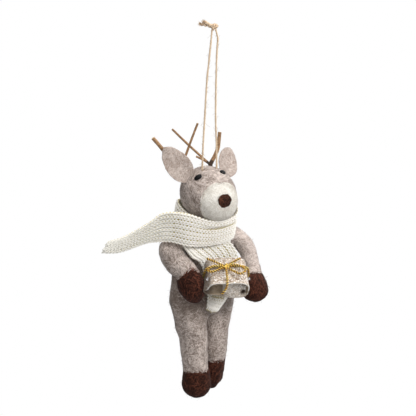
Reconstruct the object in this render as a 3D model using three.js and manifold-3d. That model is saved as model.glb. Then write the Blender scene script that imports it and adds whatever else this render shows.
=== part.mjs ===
// A needle-felted reindeer that hangs on a twine loop, with a knitted scarf, forked twigs for antlers
// and a wrapped parcel between its hands. Millimetres, +Z up. The reindeer faces -Y, so its own right
// side is at -X. The origin is the top of the loop, right under the knot, where a hook or branch bears.
import * as THREE from 'three';
import { mergeVertices } from 'three/addons/utils/BufferGeometryUtils.js';
import Module from 'manifold-3d';

const wasm = await Module();
wasm.setup();

// Clearances and cutting sizes
const seatGap = 0.3;            // between pieces that touch
const cutReach = 400;           // half the size of the block that a flat cut uses
const boreRun = 1.5;            // how far a bore runs past the face it opens in

// Twine loop
const loopDrop = 87;            // hanging point down to the holes in the crown
const holeSpacing = 10.4;       // between the two holes
const twineDiameter = 1.2;
const loopNeck = 2.9;           // between the strands where they leave the knot
const threadDepth = 6.5;        // the buried stretch turns back up at this depth
const dimple = { length: 4.4, width: 2.6, depth: 1.05 };
const knot = { width: 6.2, height: 4.6, depth: 3.6, tailLength: 8.6, tailWidth: 1.5 };

// Head, an egg that lies along Y, and what is felted or glued on it
const head = { length: 40.1, width: 34.8, height: 34.6, back: 17.3, setback: 2.1, crown: 16.3 };
const muzzle = { length: 7.2, wall: 3.0 };
const nose = { width: 8.8, height: 8.6, thickness: 2.2 };
const eye = {
  length: 4.7, width: 3.3, thickness: 2.4, spacing: 16.5, shift: -1.1, forward: 5.8, rise: 13.4,
};
const ear = { width: 16.2, thickness: 2.2, dishDepth: 2.2 };
const twig = { thick: 2.5, thin: 1.5, stem: 2.3, stub: 1.4, reach: 28 };

// Body and limbs
const torso = { height: 69, width: 41.6, depth: 30.4, setback: 5.4, top: 30 };
const leg = { length: 71.4, width: 19.2, depth: 21, spread: 21, stride: 10, top: 50 };
const hoof = { heightRight: 18.4, heightLeft: 21.2 };
const arm = { girth: 16 };
const hand = { girth: 17.2 };
const wire = { diameter: 1.2, bore: 1.8 };

// Scarf, one knitted strip
const scarf = { thickness: 1.9, width: 20 };

// Parcel, a sheet rolled into a flattened tube, tied with a cord
const parcel = { width: 26, length: 20.2, height: 14.8, wall: 0.8, corner: 5.6, pitch: 35, yaw: 22 };
const goldCord = { diameter: 1.2, lift: 0.45 };
const glue = { width: 3.6, length: 5.4 };

// Counts
const sideCount = 16;
const ringCount = 14;
const tubeSides = 8;
const wireSides = 6;
const wireSteps = 26;
const cordSides = 6;
const bandSteps = 32;
const strandSteps = 40;
const threadSteps = 14;
const bendSteps = 5;
const beadAcross = 12;
const beadUp = 8;

// Colours
const wool = { color: 0xa3958d, roughness: 0.95, metalness: 0 };
const paleWool = { color: 0xc8b7ae, roughness: 0.95, metalness: 0 };
const whiteWool = { color: 0xeee9df, roughness: 0.95, metalness: 0 };
const brownWool = { color: 0x47241c, roughness: 0.95, metalness: 0 };
const blackBead = { color: 0x141313, roughness: 0.35, metalness: 0 };
const bark = { color: 0x8a6a4c, roughness: 0.8, metalness: 0 };
const knit = { color: 0xe9e5d6, roughness: 0.9, metalness: 0 };
const glitter = { color: 0xad9a85, roughness: 0.5, metalness: 0.3 };
const gold = { color: 0xd9a21f, roughness: 0.35, metalness: 0.8 };
const jute = { color: 0xc9a77f, roughness: 0.9, metalness: 0 };
const steel = { color: 0x8d8f91, roughness: 0.4, metalness: 1 };
const clearGlue = { color: 0xdfe0e2, roughness: 0.2, metalness: 0 };

const object = new THREE.Group();
const point = (x, y, z) => new THREE.Vector3(x, y, z);

// Main places, all below the hanging point
const crownPlace = point(0, 0, -loopDrop);
const headPlace = point(0, head.setback, -loopDrop - head.crown);
const torsoTop = -loopDrop - torso.top;
const legTop = torsoTop - leg.top;

// Solids

function toSolid(geometry) {
  const bare = geometry.clone();
  bare.deleteAttribute('normal');
  bare.deleteAttribute('uv');
  const merged = mergeVertices(bare, 1e-6);
  const vertProperties = new Float32Array(merged.attributes.position.array);
  const triVerts = new Uint32Array(merged.index.array);
  return new wasm.Manifold(new wasm.Mesh({ numProp: 3, vertProperties, triVerts }));
}

function toGeometry(solid) {
  const mesh = solid.getMesh();
  const geometry = new THREE.BufferGeometry();
  geometry.setAttribute('position', new THREE.BufferAttribute(new Float32Array(mesh.vertProperties), 3));
  geometry.setIndex(new THREE.BufferAttribute(new Uint32Array(mesh.triVerts), 1));
  return geometry;
}

function addPiece(name, solid, finish) {
  const geometry = toGeometry(solid).toNonIndexed();
  geometry.computeVertexNormals();
  const piece = new THREE.Mesh(geometry, new THREE.MeshStandardMaterial(finish));
  piece.name = name;
  object.add(piece);
}

const cut = (solid, ...tools) => tools.reduce((rest, tool) => rest.subtract(tool), solid);
const join = (solid, ...more) => more.reduce((sum, part) => sum.add(part), solid);

// Everything on the side of a plane that its normal points to
function beyond(origin, normal) {
  const block = new THREE.BoxGeometry(cutReach, cutReach, cutReach);
  const direction = normal.clone().normalize();
  block.applyQuaternion(new THREE.Quaternion().setFromUnitVectors(point(0, 0, 1), direction));
  const centre = origin.clone().addScaledVector(direction, cutReach / 2);
  block.translate(centre.x, centre.y, centre.z);
  return toSolid(block);
}

// Value of a table of rows at a place along it: rows start with that place, and a cubic joins them
function alongRows(rows, place) {
  let i = 0;
  while (i < rows.length - 2 && place > rows[i + 1][0]) i += 1;
  const start = rows[i];
  const end = rows[i + 1];
  const before = rows[Math.max(i - 1, 0)];
  const after = rows[Math.min(i + 2, rows.length - 1)];
  const span = end[0] - start[0];
  const u = (place - start[0]) / span;
  return start.slice(1).map((value, k) => {
    const slopeStart = (end[k + 1] - before[k + 1]) / (end[0] - before[0]) * span;
    const slopeEnd = (after[k + 1] - value) / (after[0] - start[0]) * span;
    const rise = end[k + 1] - value;
    return value + u * slopeStart + u * u * (3 * rise - 2 * slopeStart - slopeEnd)
      + u * u * u * (slopeStart + slopeEnd - 2 * rise);
  });
}

// Closed skin over rings of points; an end ring may be a single point
function skin(rings) {
  const positions = [];
  const index = [];
  const starts = rings.map((ring) => {
    const start = positions.length / 3;
    ring.forEach((p) => positions.push(p.x, p.y, p.z));
    return start;
  });
  for (let i = 0; i < rings.length - 1; i += 1) {
    const count = Math.max(rings[i].length, rings[i + 1].length);
    for (let j = 0; j < count; j += 1) {
      const k = (j + 1) % count;
      const a = starts[i] + (rings[i].length > 1 ? j : 0);
      const b = starts[i] + (rings[i].length > 1 ? k : 0);
      const c = starts[i + 1] + (rings[i + 1].length > 1 ? k : 0);
      const d = starts[i + 1] + (rings[i + 1].length > 1 ? j : 0);
      if (a !== b) index.push(a, b, c);
      if (c !== d) index.push(a, c, d);
    }
  }
  const closeEnd = (i, turned) => {
    const ring = rings[i];
    for (let j = 1; j < ring.length - 1; j += 1) {
      const fan = [starts[i], starts[i] + j, starts[i] + j + 1];
      index.push(...(turned ? [fan[0], fan[2], fan[1]] : fan));
    }
  };
  closeEnd(0, true);
  closeEnd(rings.length - 1, false);
  const geometry = new THREE.BufferGeometry();
  geometry.setAttribute('position', new THREE.Float32BufferAttribute(positions, 3));
  geometry.setIndex(index);
  const solid = toSolid(geometry);
  return solid;
}

// A felted form that swells and tapers along a spine. A row holds place, x, y, z, half width and half
// depth, and both ends are rounded over their cap's share of the spine; a cap of 0 leaves it flat.
// Each ring stands square to the spine, its width lying along the side vector. A form may begin part
// of the way along its spine.
function feltForm({
  rows, side, capStart = 0, capEnd = 0, grow = 0, begin = 0, sides = sideCount, rings = ringCount,
}) {
  const places = [];
  for (let i = 0; i <= rings; i += 1) {
    const even = i / rings;
    const bunched = (1 - Math.cos(Math.PI * even)) / 2;
    places.push(begin + (1 - begin) * (even + 2 * bunched) / 3);
  }
  const centreAt = (place) => {
    const [x, y, z] = alongRows(rows, place);
    return point(x, y, z);
  };
  const step = 1e-3;
  const stack = places.map((place) => {
    const [, , , width, depth] = alongRows(rows, place);
    const inStart = capStart > 0 ? Math.max(0, 1 - place / capStart) : 0;
    const inEnd = capEnd > 0 ? Math.max(0, 1 - (1 - place) / capEnd) : 0;
    const round = Math.sqrt(Math.max(0, 1 - Math.max(inStart, inEnd) ** 2));
    const centre = centreAt(place);
    const tangent = centreAt(Math.min(1, place + step))
      .sub(centreAt(Math.max(0, place - step)))
      .normalize();
    const across = side.clone().addScaledVector(tangent, -side.dot(tangent)).normalize();
    const over = tangent.clone().cross(across);
    centre.addScaledVector(tangent, grow * (inEnd - inStart));
    if (round < 1e-6) return [centre];
    const ring = [];
    for (let j = 0; j < sides; j += 1) {
      const angle = 2 * Math.PI * j / sides;
      ring.push(centre.clone()
        .addScaledVector(across, Math.cos(angle) * (width + grow) * round)
        .addScaledVector(over, Math.sin(angle) * (depth + grow) * round));
    }
    return ring;
  });
  return skin(stack);
}

// A round rod along a path, with as many steps as asked
function rod(path, diameter, steps, sides) {
  const section = new THREE.Shape();
  for (let j = 0; j < sides; j += 1) {
    const angle = 2 * Math.PI * j / sides;
    const x = Math.cos(angle) * diameter / 2;
    const y = Math.sin(angle) * diameter / 2;
    if (j === 0) section.moveTo(x, y);
    else section.lineTo(x, y);
  }
  return toSolid(new THREE.ExtrudeGeometry(section, { steps, extrudePath: path, bevelEnabled: false }));
}

function tube(points, diameter, { steps = 12, sides = tubeSides } = {}) {
  const path = points.length === 2 ? new THREE.LineCurve3(...points) : new THREE.CatmullRomCurve3(points);
  return rod(path, diameter, steps, sides);
}

// An egg-shaped bead: a sphere scaled to three half sizes, turned and placed
function bead(centre, length, width, height, turn = new THREE.Quaternion()) {
  const ball = new THREE.SphereGeometry(1, beadAcross, beadUp);
  ball.scale(length / 2, width / 2, height / 2);
  ball.applyQuaternion(turn);
  ball.translate(centre.x, centre.y, centre.z);
  return toSolid(ball);
}

// Head: back to front, as shares of its length, height and widths
const headShares = [
  [0.00, 0.000, 0.500, 0.500],
  [0.43, 0.000, 0.500, 0.500],
  [0.58, -0.020, 0.486, 0.474],
  [0.73, -0.056, 0.434, 0.412],
  [0.86, -0.062, 0.384, 0.366],
  [1.00, -0.030, 0.370, 0.350],
];

const noseShares = { sunk: 0.1, rise: 0.01 };

function headForm(grow) {
  const rows = headShares.map(([along, rise, halfWidth, halfHeight]) => [
    along,
    headPlace.x,
    headPlace.y + head.back - along * head.length,
    headPlace.z + rise * head.height,
    halfWidth * head.width,
    halfHeight * head.height,
  ]);
  return feltForm({
    rows, side: point(1, 0, 0), capStart: 0.43, capEnd: 0.23, grow, sides: 20, rings: 16,
  });
}

const headFront = headPlace.y + head.back - head.length;
const muzzleBack = point(0, headFront + muzzle.length, 0);

// Torso: neck to crotch, as shares of its height, setback, width and depth
const torsoShares = [
  [0.00, 0.40, 0.216, 0.270],
  [0.06, 0.46, 0.228, 0.280],
  [0.13, 0.66, 0.312, 0.305],
  [0.21, 0.78, 0.397, 0.345],
  [0.32, 0.86, 0.450, 0.400],
  [0.47, 0.94, 0.478, 0.454],
  [0.64, 1.00, 0.495, 0.487],
  [0.78, 1.00, 0.500, 0.500],
  [0.90, 0.96, 0.490, 0.490],
  [1.00, 0.90, 0.470, 0.470],
];

function torsoForm(grow) {
  const rows = torsoShares.map(([down, back, halfWidth, halfDepth]) => [
    down,
    0,
    back * torso.setback,
    torsoTop - down * torso.height,
    halfWidth * torso.width,
    halfDepth * torso.depth,
  ]);
  return feltForm({ rows, side: point(1, 0, 0), capEnd: 0.2, grow, sides: 20, rings: 16 });
}

// Legs: hip to hoof, as shares of their length, spread, width and depth
const legShares = [
  [0.000, 0.505, 0.490, 0.490],
  [0.275, 0.520, 0.530, 0.520],
  [0.433, 0.452, 0.462, 0.458],
  [0.572, 0.428, 0.445, 0.434],
  [0.702, 0.412, 0.428, 0.412],
  [0.763, 0.405, 0.450, 0.424],
  [0.860, 0.392, 0.486, 0.462],
  [1.000, 0.380, 0.440, 0.430],
];
// How far each leg stands forward on the way down, as shares of the stride
const rightStrideShares = [-0.25, 0.08, 0.30, 0.37, 0.49, 0.56, 0.68, 0.74];
const leftStrideShares = [-0.62, -0.50, -0.26, -0.22, -0.26, -0.28, -0.33, -0.38];

function legForm(sign, strideShares, grow) {
  const rows = legShares.map(([down, out, halfWidth, halfDepth], i) => [
    down,
    sign * out * leg.spread,
    -strideShares[i] * leg.stride,
    legTop - down * leg.length,
    halfWidth * leg.width,
    halfDepth * leg.depth,
  ]);
  return feltForm({ rows, side: point(1, 0, 0), capStart: 0.12, capEnd: 0.13, grow });
}

// Arms: shoulder to wrist to finger end. A row is place, then out, forward and down from the crown
// as shares of the reach, then the half girth as a share of the arm's or the hand's girth.
const reach = { out: 26, forward: 34, down: 84 };
const rightArmShares = [
  [0.00, 0.54, -0.09, 0.525, 0.46],
  [0.17, 0.80, -0.15, 0.595, 0.50],
  [0.30, 0.900, -0.11, 0.640, 0.50],
  [0.48, 0.940, 0.18, 0.690, 0.475],
  [0.65, 0.865, 0.44, 0.727, 0.415],
  [0.71, 0.850, 0.49, 0.755, 0.44],
  [0.83, 0.815, 0.535, 0.835, 0.535],
  [1.00, 0.790, 0.585, 0.965, 0.49],
];
const leftArmShares = [
  [0.00, 0.50, -0.03, 0.540, 0.40],
  [0.17, 0.78, 0.05, 0.572, 0.370],
  [0.32, 0.915, 0.20, 0.620, 0.350],
  [0.48, 0.965, 0.36, 0.690, 0.335],
  [0.65, 0.905, 0.58, 0.785, 0.330],
  [0.71, 0.870, 0.65, 0.815, 0.375],
  [0.83, 0.810, 0.76, 0.875, 0.510],
  [1.00, 0.775, 0.78, 0.985, 0.46],
];

function armRows(sign, shares) {
  return shares.map(([place, out, forward, down, halfGirth]) => [
    place,
    sign * out * reach.out,
    -forward * reach.forward,
    crownPlace.z - down * reach.down,
    halfGirth * (place > 0.7 ? hand.girth : arm.girth),
    halfGirth * (place > 0.7 ? hand.girth : arm.girth),
  ]);
}

const armCaps = { capStart: 0.1, capEnd: 0.14 };
const handBegin = 0.62;
const handRings = 8;
const wristShares = { right: 0.66, left: 0.70 };
const armForm = (rows, grow) => feltForm({ rows, side: point(1, 0, 0), ...armCaps, grow });
const handForm = (rows) => feltForm({
  rows, side: point(1, 0, 0), ...armCaps, begin: handBegin, rings: handRings,
});

function placeOnRows(rows, place) {
  const [x, y, z] = alongRows(rows, place);
  return point(x, y, z);
}

function directionOnRows(rows, place) {
  const step = 0.01;
  return placeOnRows(rows, place + step).sub(placeOnRows(rows, place - step)).normalize();
}

const rightArmRows = armRows(-1, rightArmShares);
const leftArmRows = armRows(1, leftArmShares);

// Armature: one wire through both arms and the chest, one through both legs, one up the neck
const chestPlace = point(0, torso.setback * 1.35, torsoTop - torso.height * 0.24);
const armWirePoints = [
  placeOnRows(rightArmRows, 0.86), placeOnRows(rightArmRows, 0.65), placeOnRows(rightArmRows, 0.45),
  placeOnRows(rightArmRows, 0.25), placeOnRows(rightArmRows, 0.05), chestPlace,
  placeOnRows(leftArmRows, 0.05), placeOnRows(leftArmRows, 0.25), placeOnRows(leftArmRows, 0.45),
  placeOnRows(leftArmRows, 0.65), placeOnRows(leftArmRows, 0.86),
];

function legPoint(sign, strideShares, i) {
  const [down, out] = legShares[i];
  return point(sign * out * leg.spread, -strideShares[i] * leg.stride, legTop - down * leg.length);
}

const pelvisPlace = point(0, torso.setback * 0.9, torsoTop - torso.height * 0.5);
function legWireHalf(sign, strideShares) {
  return strideShares.map((stride, i) => legPoint(sign, strideShares, i)).filter((place, i) => i % 2 === 0);
}
const legWirePoints = [
  ...legWireHalf(-1, rightStrideShares).reverse(),
  pelvisPlace,
  ...legWireHalf(1, leftStrideShares),
];
const neckWirePoints = [
  point(0, pelvisPlace.y, pelvisPlace.z + wire.bore + seatGap),
  point(0, headPlace.y, headPlace.z),
];

// Twine holes, and the buried stretch between them. A strand's round foot turns in the mouth of its hole.
const holeX = holeSpacing / 2;
const strandFoot = (sign) => point(sign * holeX, 0, -loopDrop);
const threadTop = (sign) => point(sign * holeX, 0, -loopDrop - twineDiameter / 2 - seatGap);
const threadBendShare = 0.55;
const threadBend = (sign, out, down) => point(sign * out * holeX, 0, -loopDrop - down * threadDepth);
const threadPoints = [
  threadTop(-1),
  threadBend(-1, 1, 0.5),
  threadBend(-1, threadBendShare, 1),
  threadBend(1, threadBendShare, 1),
  threadBend(1, 1, 0.5),
  threadTop(1),
];
const threadTunnel = join(
  tube(threadPoints, twineDiameter + 2 * seatGap, { steps: threadSteps }),
  ...[-1, 1].map((sign) => bead(strandFoot(sign), dimple.width, dimple.length, 2 * dimple.depth)),
  ...[-1, 1].map((sign) => tube(
    [threadTop(sign).add(point(0, 0, -boreRun)), strandFoot(sign).add(point(0, 0, boreRun))],
    twineDiameter + 2 * seatGap,
    { steps: 1 },
  )),
);

// Antlers: forked twigs. Ends are given from the crown: out as shares of the head's width, back and up
// as shares of the twigs' reach.
const fromCrown = ([out, back, rise]) => point(
  out * head.width,
  back * twig.reach,
  rise * twig.reach,
).add(crownPlace);
const rightForkShares = [-0.408, 0.40, -0.040];
const rightRootShares = [-0.241, 0.24, -0.300];
const rightThickShares = [-0.900, 0.64, 0.671];
const rightThinShares = [-0.109, 0.36, 0.993];
const leftForkShares = [0.165, 0.32, 0.018];
const leftRootShares = [0.197, 0.20, -0.300];
const leftBendShares = [0.334, 0.36, 0.340];
const leftThickShares = [0.394, 0.43, 0.730];
const leftThinShares = [-0.324, 1.07, 0.739];
const leftStubShares = [-0.048, 0.52, 0.186];

function antler(forkShares, rootShares, thickRouteShares, thinShares) {
  const fork = fromCrown(forkShares);
  const root = fromCrown(rootShares);
  const thickRoute = [fork, ...thickRouteShares.map(fromCrown)];
  const burl = bead(fork, twig.stem * 1.15, twig.stem * 1.15, twig.stem * 1.3);
  return join(
    tube([root, fork], twig.stem, { steps: 1 }),
    tube(thickRoute, twig.thick, { steps: thickRoute.length === 2 ? 1 : bendSteps }),
    tube([fork, fromCrown(thinShares)], twig.thin, { steps: 1 }),
    burl,
  );
}

const antlerRight = antler(rightForkShares, rightRootShares, [rightThickShares], rightThinShares);
const antlerLeft = join(
  antler(leftForkShares, leftRootShares, [leftBendShares, leftThickShares], leftThinShares),
  tube([fromCrown(leftForkShares), fromCrown(leftStubShares)], twig.stub, { steps: 1 }),
);

function rootHole(forkShares, rootShares) {
  const fork = fromCrown(forkShares);
  const root = fromCrown(rootShares);
  const run = root.clone().sub(fork).normalize();
  return tube([fork, root.addScaledVector(run, seatGap)], twig.stem + 2 * seatGap, { steps: 1 });
}

// Eyes: flat oval beads, half sunk in the wool, their long axis leaning up towards the crown
function eyeBead(sign, grow) {
  const middle = point(
    sign * eye.spacing / 2 + eye.shift,
    headPlace.y - eye.forward,
    headPlace.z + eye.rise + sign * eye.shift * -0.5,
  );
  const outward = middle.clone().sub(headPlace).normalize();
  const turn = new THREE.Quaternion().setFromUnitVectors(point(0, 0, 1), outward);
  const spin = new THREE.Quaternion().setFromAxisAngle(point(0, 0, 1), sign * Math.PI * 0.17);
  const size = 2 * grow;
  return bead(middle, eye.length + size, eye.width + size, eye.thickness + size, turn.multiply(spin));
}

// Ears: a leaf cut from thick felt, dished, its root pinched against the head
const earOutlineShares = [
  [0.00, 0.20], [0.10, 0.36], [0.25, 0.47], [0.42, 0.50], [0.58, 0.47],
  [0.74, 0.38], [0.87, 0.26], [0.96, 0.12],
];
const earDishShare = 1.2;
const earRootShares = {
  right: { out: 0.385, back: 0.02, rise: 0.285 },
  left: { out: 0.355, back: 0.02, rise: 0.30 },
};
const earTipShares = {
  right: { out: 0.785, back: 0.22, rise: 0.872 },
  left: { out: 0.665, back: 0.29, rise: 0.735 },
};

function earLeaf(sign, rootShares, tipShares) {
  const root = point(
    sign * rootShares.out * head.width,
    headPlace.y + rootShares.back * head.length,
    headPlace.z + rootShares.rise * head.height,
  );
  const tip = point(
    sign * tipShares.out * head.width,
    headPlace.y + tipShares.back * head.length,
    headPlace.z + tipShares.rise * head.height,
  );
  const length = tip.distanceTo(root);
  const run = tip.clone().sub(root).normalize();
  const facing = point(0, -1, 0).addScaledVector(run, run.y).normalize();
  const across = run.clone().cross(facing).normalize();
  const rings = earOutlineShares.map(([along, halfWidth]) => {
    const middle = root.clone().addScaledVector(run, along * length);
    const reachOut = halfWidth * ear.width;
    const dish = ear.dishDepth * halfWidth * 2 * (earDishShare - along);
    const edgePoint = (u, face) => middle.clone()
      .addScaledVector(across, u * reachOut)
      .addScaledVector(facing, dish * u * u + face * ear.thickness / 2 * (1 - 0.45 * u * u));
    const steps = [-1, -0.6, 0, 0.6, 1];
    return [
      ...steps.map((u) => edgePoint(u, 1)),
      ...steps.slice().reverse().map((u) => edgePoint(u, -1)),
    ];
  });
  return skin([...rings, [tip]]);
}

// Scarf: one strip from the flying tail, across the chest, round behind the neck and down the front.
// A row is place, middle x, y, z from the crown, then the direction and half length of its width,
// all as shares of the scarf's width.
const scarfShares = [
  [0.000, -3.53, 0.10, -2.190, 0.100, 0.00, 0.185],
  [0.050, -3.00, 0.10, -2.175, 0.060, 0.00, 0.250],
  [0.120, -2.14, 0.04, -1.890, 0.040, -0.02, 0.350],
  [0.175, -1.74, -0.04, -1.770, 0.030, -0.05, 0.480],
  [0.220, -1.40, -0.24, -1.740, 0.010, -0.08, 0.520],
  [0.290, -0.95, -0.56, -1.820, -0.010, -0.02, 0.530],
  [0.360, -0.30, -0.70, -2.000, 0.000, 0.03, 0.390],
  [0.425, 0.42, -0.65, -1.970, 0.010, 0.03, 0.400],
  [0.480, 0.79, -0.38, -1.800, 0.030, 0.04, 0.430],
  [0.530, 0.87, 0.16, -1.580, 0.010, -0.01, 0.310],
  [0.585, 0.60, 0.84, -1.600, -0.020, 0.02, 0.340],
  [0.640, -0.16, 0.99, -1.560, 0.000, 0.02, 0.370],
  [0.690, -0.80, 0.66, -1.460, 0.040, 0.00, 0.385],
  [0.735, -0.97, 0.12, -1.620, 0.120, 0.06, 0.400],
  [0.775, -0.74, -0.26, -1.960, 0.260, -0.03, 0.380],
  [0.820, -0.10, -0.50, -2.440, 0.600, 0.03, 0.210],
  [0.860, 0.25, -0.54, -2.800, 0.610, 0.01, 0.030],
  [0.900, 0.20, -0.57, -3.260, 0.540, 0.00, -0.050],
  [0.950, 0.04, -0.65, -3.950, 0.400, 0.00, -0.180],
  [1.000, -0.15, -0.74, -4.385, 0.200, 0.00, -0.240],
];
const scarfRings = 72;

function scarfStrip() {
  const rows = scarfShares.map(([place, ...shares]) => [
    place,
    ...shares.map((share) => share * scarf.width),
  ]);
  const at = (place) => {
    const [x, y, z, wx, wy, wz] = alongRows(rows, place);
    return { middle: point(x, y, z).add(crownPlace), width: point(wx, wy, wz) };
  };
  const rings = [];
  for (let i = 0; i <= scarfRings; i += 1) {
    const place = i / scarfRings;
    const { middle, width } = at(place);
    const step = 1e-3;
    const ahead = at(Math.min(1, place + step)).middle
      .sub(at(Math.max(0, place - step)).middle)
      .normalize();
    const through = ahead.clone().cross(width).normalize();
    const corner = (u, v) => middle.clone().addScaledVector(width, u)
      .addScaledVector(through, v * scarf.thickness / 2);
    rings.push([
      corner(-1, 0.5), corner(-0.5, 1), corner(0, 1), corner(0.5, 1), corner(1, 0.5),
      corner(1, -0.5), corner(0.5, -1), corner(0, -1), corner(-0.5, -1), corner(-1, -0.5),
    ]);
  }
  return skin(rings.map((ring) => ring.slice().reverse()));
}

// Parcel: built flat, its tube along +X' and open at both ends, then pitched, yawed and placed
const parcelPlaceShares = { out: -0.042, forward: 0.817, down: 0.760 };
const parcelPlace = point(
  parcelPlaceShares.out * reach.out,
  -parcelPlaceShares.forward * reach.forward,
  crownPlace.z - parcelPlaceShares.down * reach.down,
);
const parcelTurn = new THREE.Quaternion()
  .setFromAxisAngle(point(0, 0, 1), -parcel.yaw * Math.PI / 180)
  .multiply(new THREE.Quaternion().setFromAxisAngle(point(1, 0, 0), parcel.pitch * Math.PI / 180));
const onParcel = (x, y, z) => point(x, y, z).applyQuaternion(parcelTurn).add(parcelPlace);

// Point on a rounded rectangle in the XZ plane, for an angle, offset outwards from its outline
function roundedOutline(width, height, corner, count) {
  const outline = [];
  const centres = [[1, 1], [-1, 1], [-1, -1], [1, -1]];
  centres.forEach(([sx, sz], quarter) => {
    for (let i = 0; i <= count; i += 1) {
      const angle = (quarter + i / count) * Math.PI / 2;
      outline.push([
        sx * (width / 2 - corner) + Math.cos(angle) * corner,
        sz * (height / 2 - corner) + Math.sin(angle) * corner,
      ]);
    }
  });
  return outline;
}

// Block with the parcel's section, grown outwards, between two places along it
function parcelBlock(grow, from, to) {
  const outline = roundedOutline(
    parcel.width + 2 * grow,
    parcel.height + 2 * grow,
    parcel.corner + grow,
    4,
  );
  const ring = (y) => outline.map(([x, z]) => onParcel(x, y, z));
  return skin([ring(from), ring(to)].map((points) => points.slice().reverse()));
}

const parcelEnd = parcel.length / 2;
const parcelWithGap = parcelBlock(seatGap, -parcelEnd - seatGap, parcelEnd + seatGap);

const parcelInnerShares = { flapReach: 0.42, flapTop: 0.36, flapLean: 0.22 };

function parcelWrap() {
  const tubeWall = cut(
    parcelBlock(0, -parcelEnd, parcelEnd),
    parcelBlock(-parcel.wall, -parcel.length, parcel.length),
  );
  const flapOutline = roundedOutline(
    parcel.width * parcelInnerShares.flapReach,
    parcel.height - parcel.wall,
    parcel.corner * 0.7,
    3,
  );
  const shift = parcel.width / 2 - parcel.width * parcelInnerShares.flapReach / 2 - parcel.wall / 2;
  const face = -parcel.length / 2 + parcel.wall * 2;
  const lean = parcelInnerShares.flapLean * parcel.height;
  const ring = (y) => flapOutline.map(([x, z]) => {
    const bulge = lean * (0.5 - z / parcel.height);
    return onParcel(x + shift, y - bulge, z);
  });
  const flap = skin([ring(face), ring(face + parcel.wall)].map((points) => points.slice().reverse()));
  return join(tubeWall, flap.intersect(parcelBlock(-parcel.wall / 2, -parcel.length, parcel.length)));
}

// Gold cord: a band round the parcel's girth, a bow knot on its top face, two loops and three tails
const bandRise = goldCord.diameter / 2 + goldCord.lift;
const bandPlace = 0.14 * parcel.length;
const bandGroove = parcelBlock(
  bandRise + goldCord.diameter / 2 + seatGap,
  bandPlace - goldCord.diameter / 2 - seatGap,
  bandPlace + goldCord.diameter / 2 + seatGap,
);

function goldBand() {
  const outline = roundedOutline(
    parcel.width + 2 * bandRise,
    parcel.height + 2 * bandRise,
    parcel.corner + bandRise,
    3,
  );
  const route = outline.map(([x, z]) => onParcel(x, bandPlace, z));
  return rod(new THREE.CatmullRomCurve3(route, true), goldCord.diameter, bandSteps, cordSides);
}

function goldTie() {
  const top = parcel.height / 2 + bandRise;
  const place = ([across, along, up]) => onParcel(
    across * parcel.width,
    bandPlace + along * parcel.length,
    top + up * goldCord.diameter,
  );
  const strands = bowShares.map((route) => tube(
    route.map(place),
    goldCord.diameter,
    { steps: route.length * 2, sides: cordSides },
  ));
  const knotBead = bead(
    place(bowKnotShares),
    goldCord.diameter * 2.6,
    goldCord.diameter * 2.3,
    goldCord.diameter * 1.9,
    parcelTurn,
  );
  return join(goldBand(), knotBead, ...strands);
}

// Routes of the bow's loops and tails from the knot: across and along the parcel as shares of its
// width and length, and up from the band as shares of the cord's diameter
const bowKnotShares = [-0.05, -0.04, 0.5];
const bowShares = [
  [
    [-0.05, -0.04, 0.6], [-0.23, -0.06, 1.5], [-0.40, -0.10, 1.7], [-0.51, -0.18, 1.2],
    [-0.41, -0.25, 0.9], [-0.23, -0.17, 1.1], [-0.05, -0.05, 0.9],
  ],
  [
    [-0.05, -0.04, 0.6], [0.05, -0.03, 1.3], [0.19, -0.02, 1.5], [0.36, -0.12, 1.5],
    [0.41, -0.24, 1.4], [0.29, -0.35, 1.3], [0.12, -0.25, 1.3], [-0.05, -0.05, 0.9],
  ],
  [[-0.05, -0.05, 0.9], [-0.20, 0.02, 1.6], [-0.35, 0.12, 1.8], [-0.50, 0.22, 1.9]],
  [[-0.05, -0.05, 0.9], [0.03, -0.01, 1.4], [0.16, 0.10, 1.7], [0.32, 0.21, 1.9]],
  [
    [-0.05, -0.05, 0.9], [-0.05, -0.25, 1.4], [-0.05, -0.48, 1.3],
    [-0.06, -0.67, 1.0], [-0.09, -0.80, -1.2], [-0.18, -0.90, -3.6],
  ],
];

// Knot of the loop: three lumps of an overhand knot, as shares of its width, depth and height, and two
// frayed ends that stand up to one side, as shares of their length and the knot's depth
const knotLumpShares = [
  { out: -0.06, rise: 0.50, width: 0.72, depth: 1.00, height: 0.86 },
  { out: -0.22, rise: 0.46, width: 0.50, depth: 1.10, height: 0.70 },
  { out: 0.20, rise: 0.58, width: 0.46, depth: 1.05, height: 0.62 },
];
const knotEndShares = [
  { out: -1.18, rise: 0.30, lean: 0.10 },
  { out: -0.96, rise: 0.47, lean: -0.12 },
];

function loopKnot() {
  const lumps = knotLumpShares.map(({ out, rise, width, depth, height }) => bead(
    point(out * knot.width, 0, seatGap + rise * knot.height),
    width * knot.width,
    depth * knot.depth,
    height * knot.height,
  ));
  const middle = seatGap + knot.height / 2;
  const ends = knotEndShares.map(({ out, rise, lean }) => tube([
    point(0, lean * knot.depth, middle),
    point(out * 0.5 * knot.tailLength, lean * knot.depth, middle + rise * 0.6 * knot.tailLength),
    point(out * knot.tailLength, lean * 1.5 * knot.depth, middle + rise * knot.tailLength),
  ], knot.tailWidth, { steps: 5, sides: 6 }));
  return join(...lumps, ...ends);
}

const gluePlaceShares = { along: -0.24, up: 0.36 };

// Build the pieces

const torsoGrown = torsoForm(seatGap);
const headGrown = headForm(seatGap);
const wireCounts = { steps: wireSteps, sides: wireSides };
const armWireBore = tube(armWirePoints, wire.bore, wireCounts);
const legWireBore = tube(legWirePoints, wire.bore, wireCounts);
const neckWireBore = tube(
  [
    neckWirePoints[0].clone().add(point(0, 0, -boreRun)),
    neckWirePoints[1].clone().add(point(0, 0, boreRun)),
  ],
  wire.bore,
  { steps: 1, sides: wireSides },
);

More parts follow.
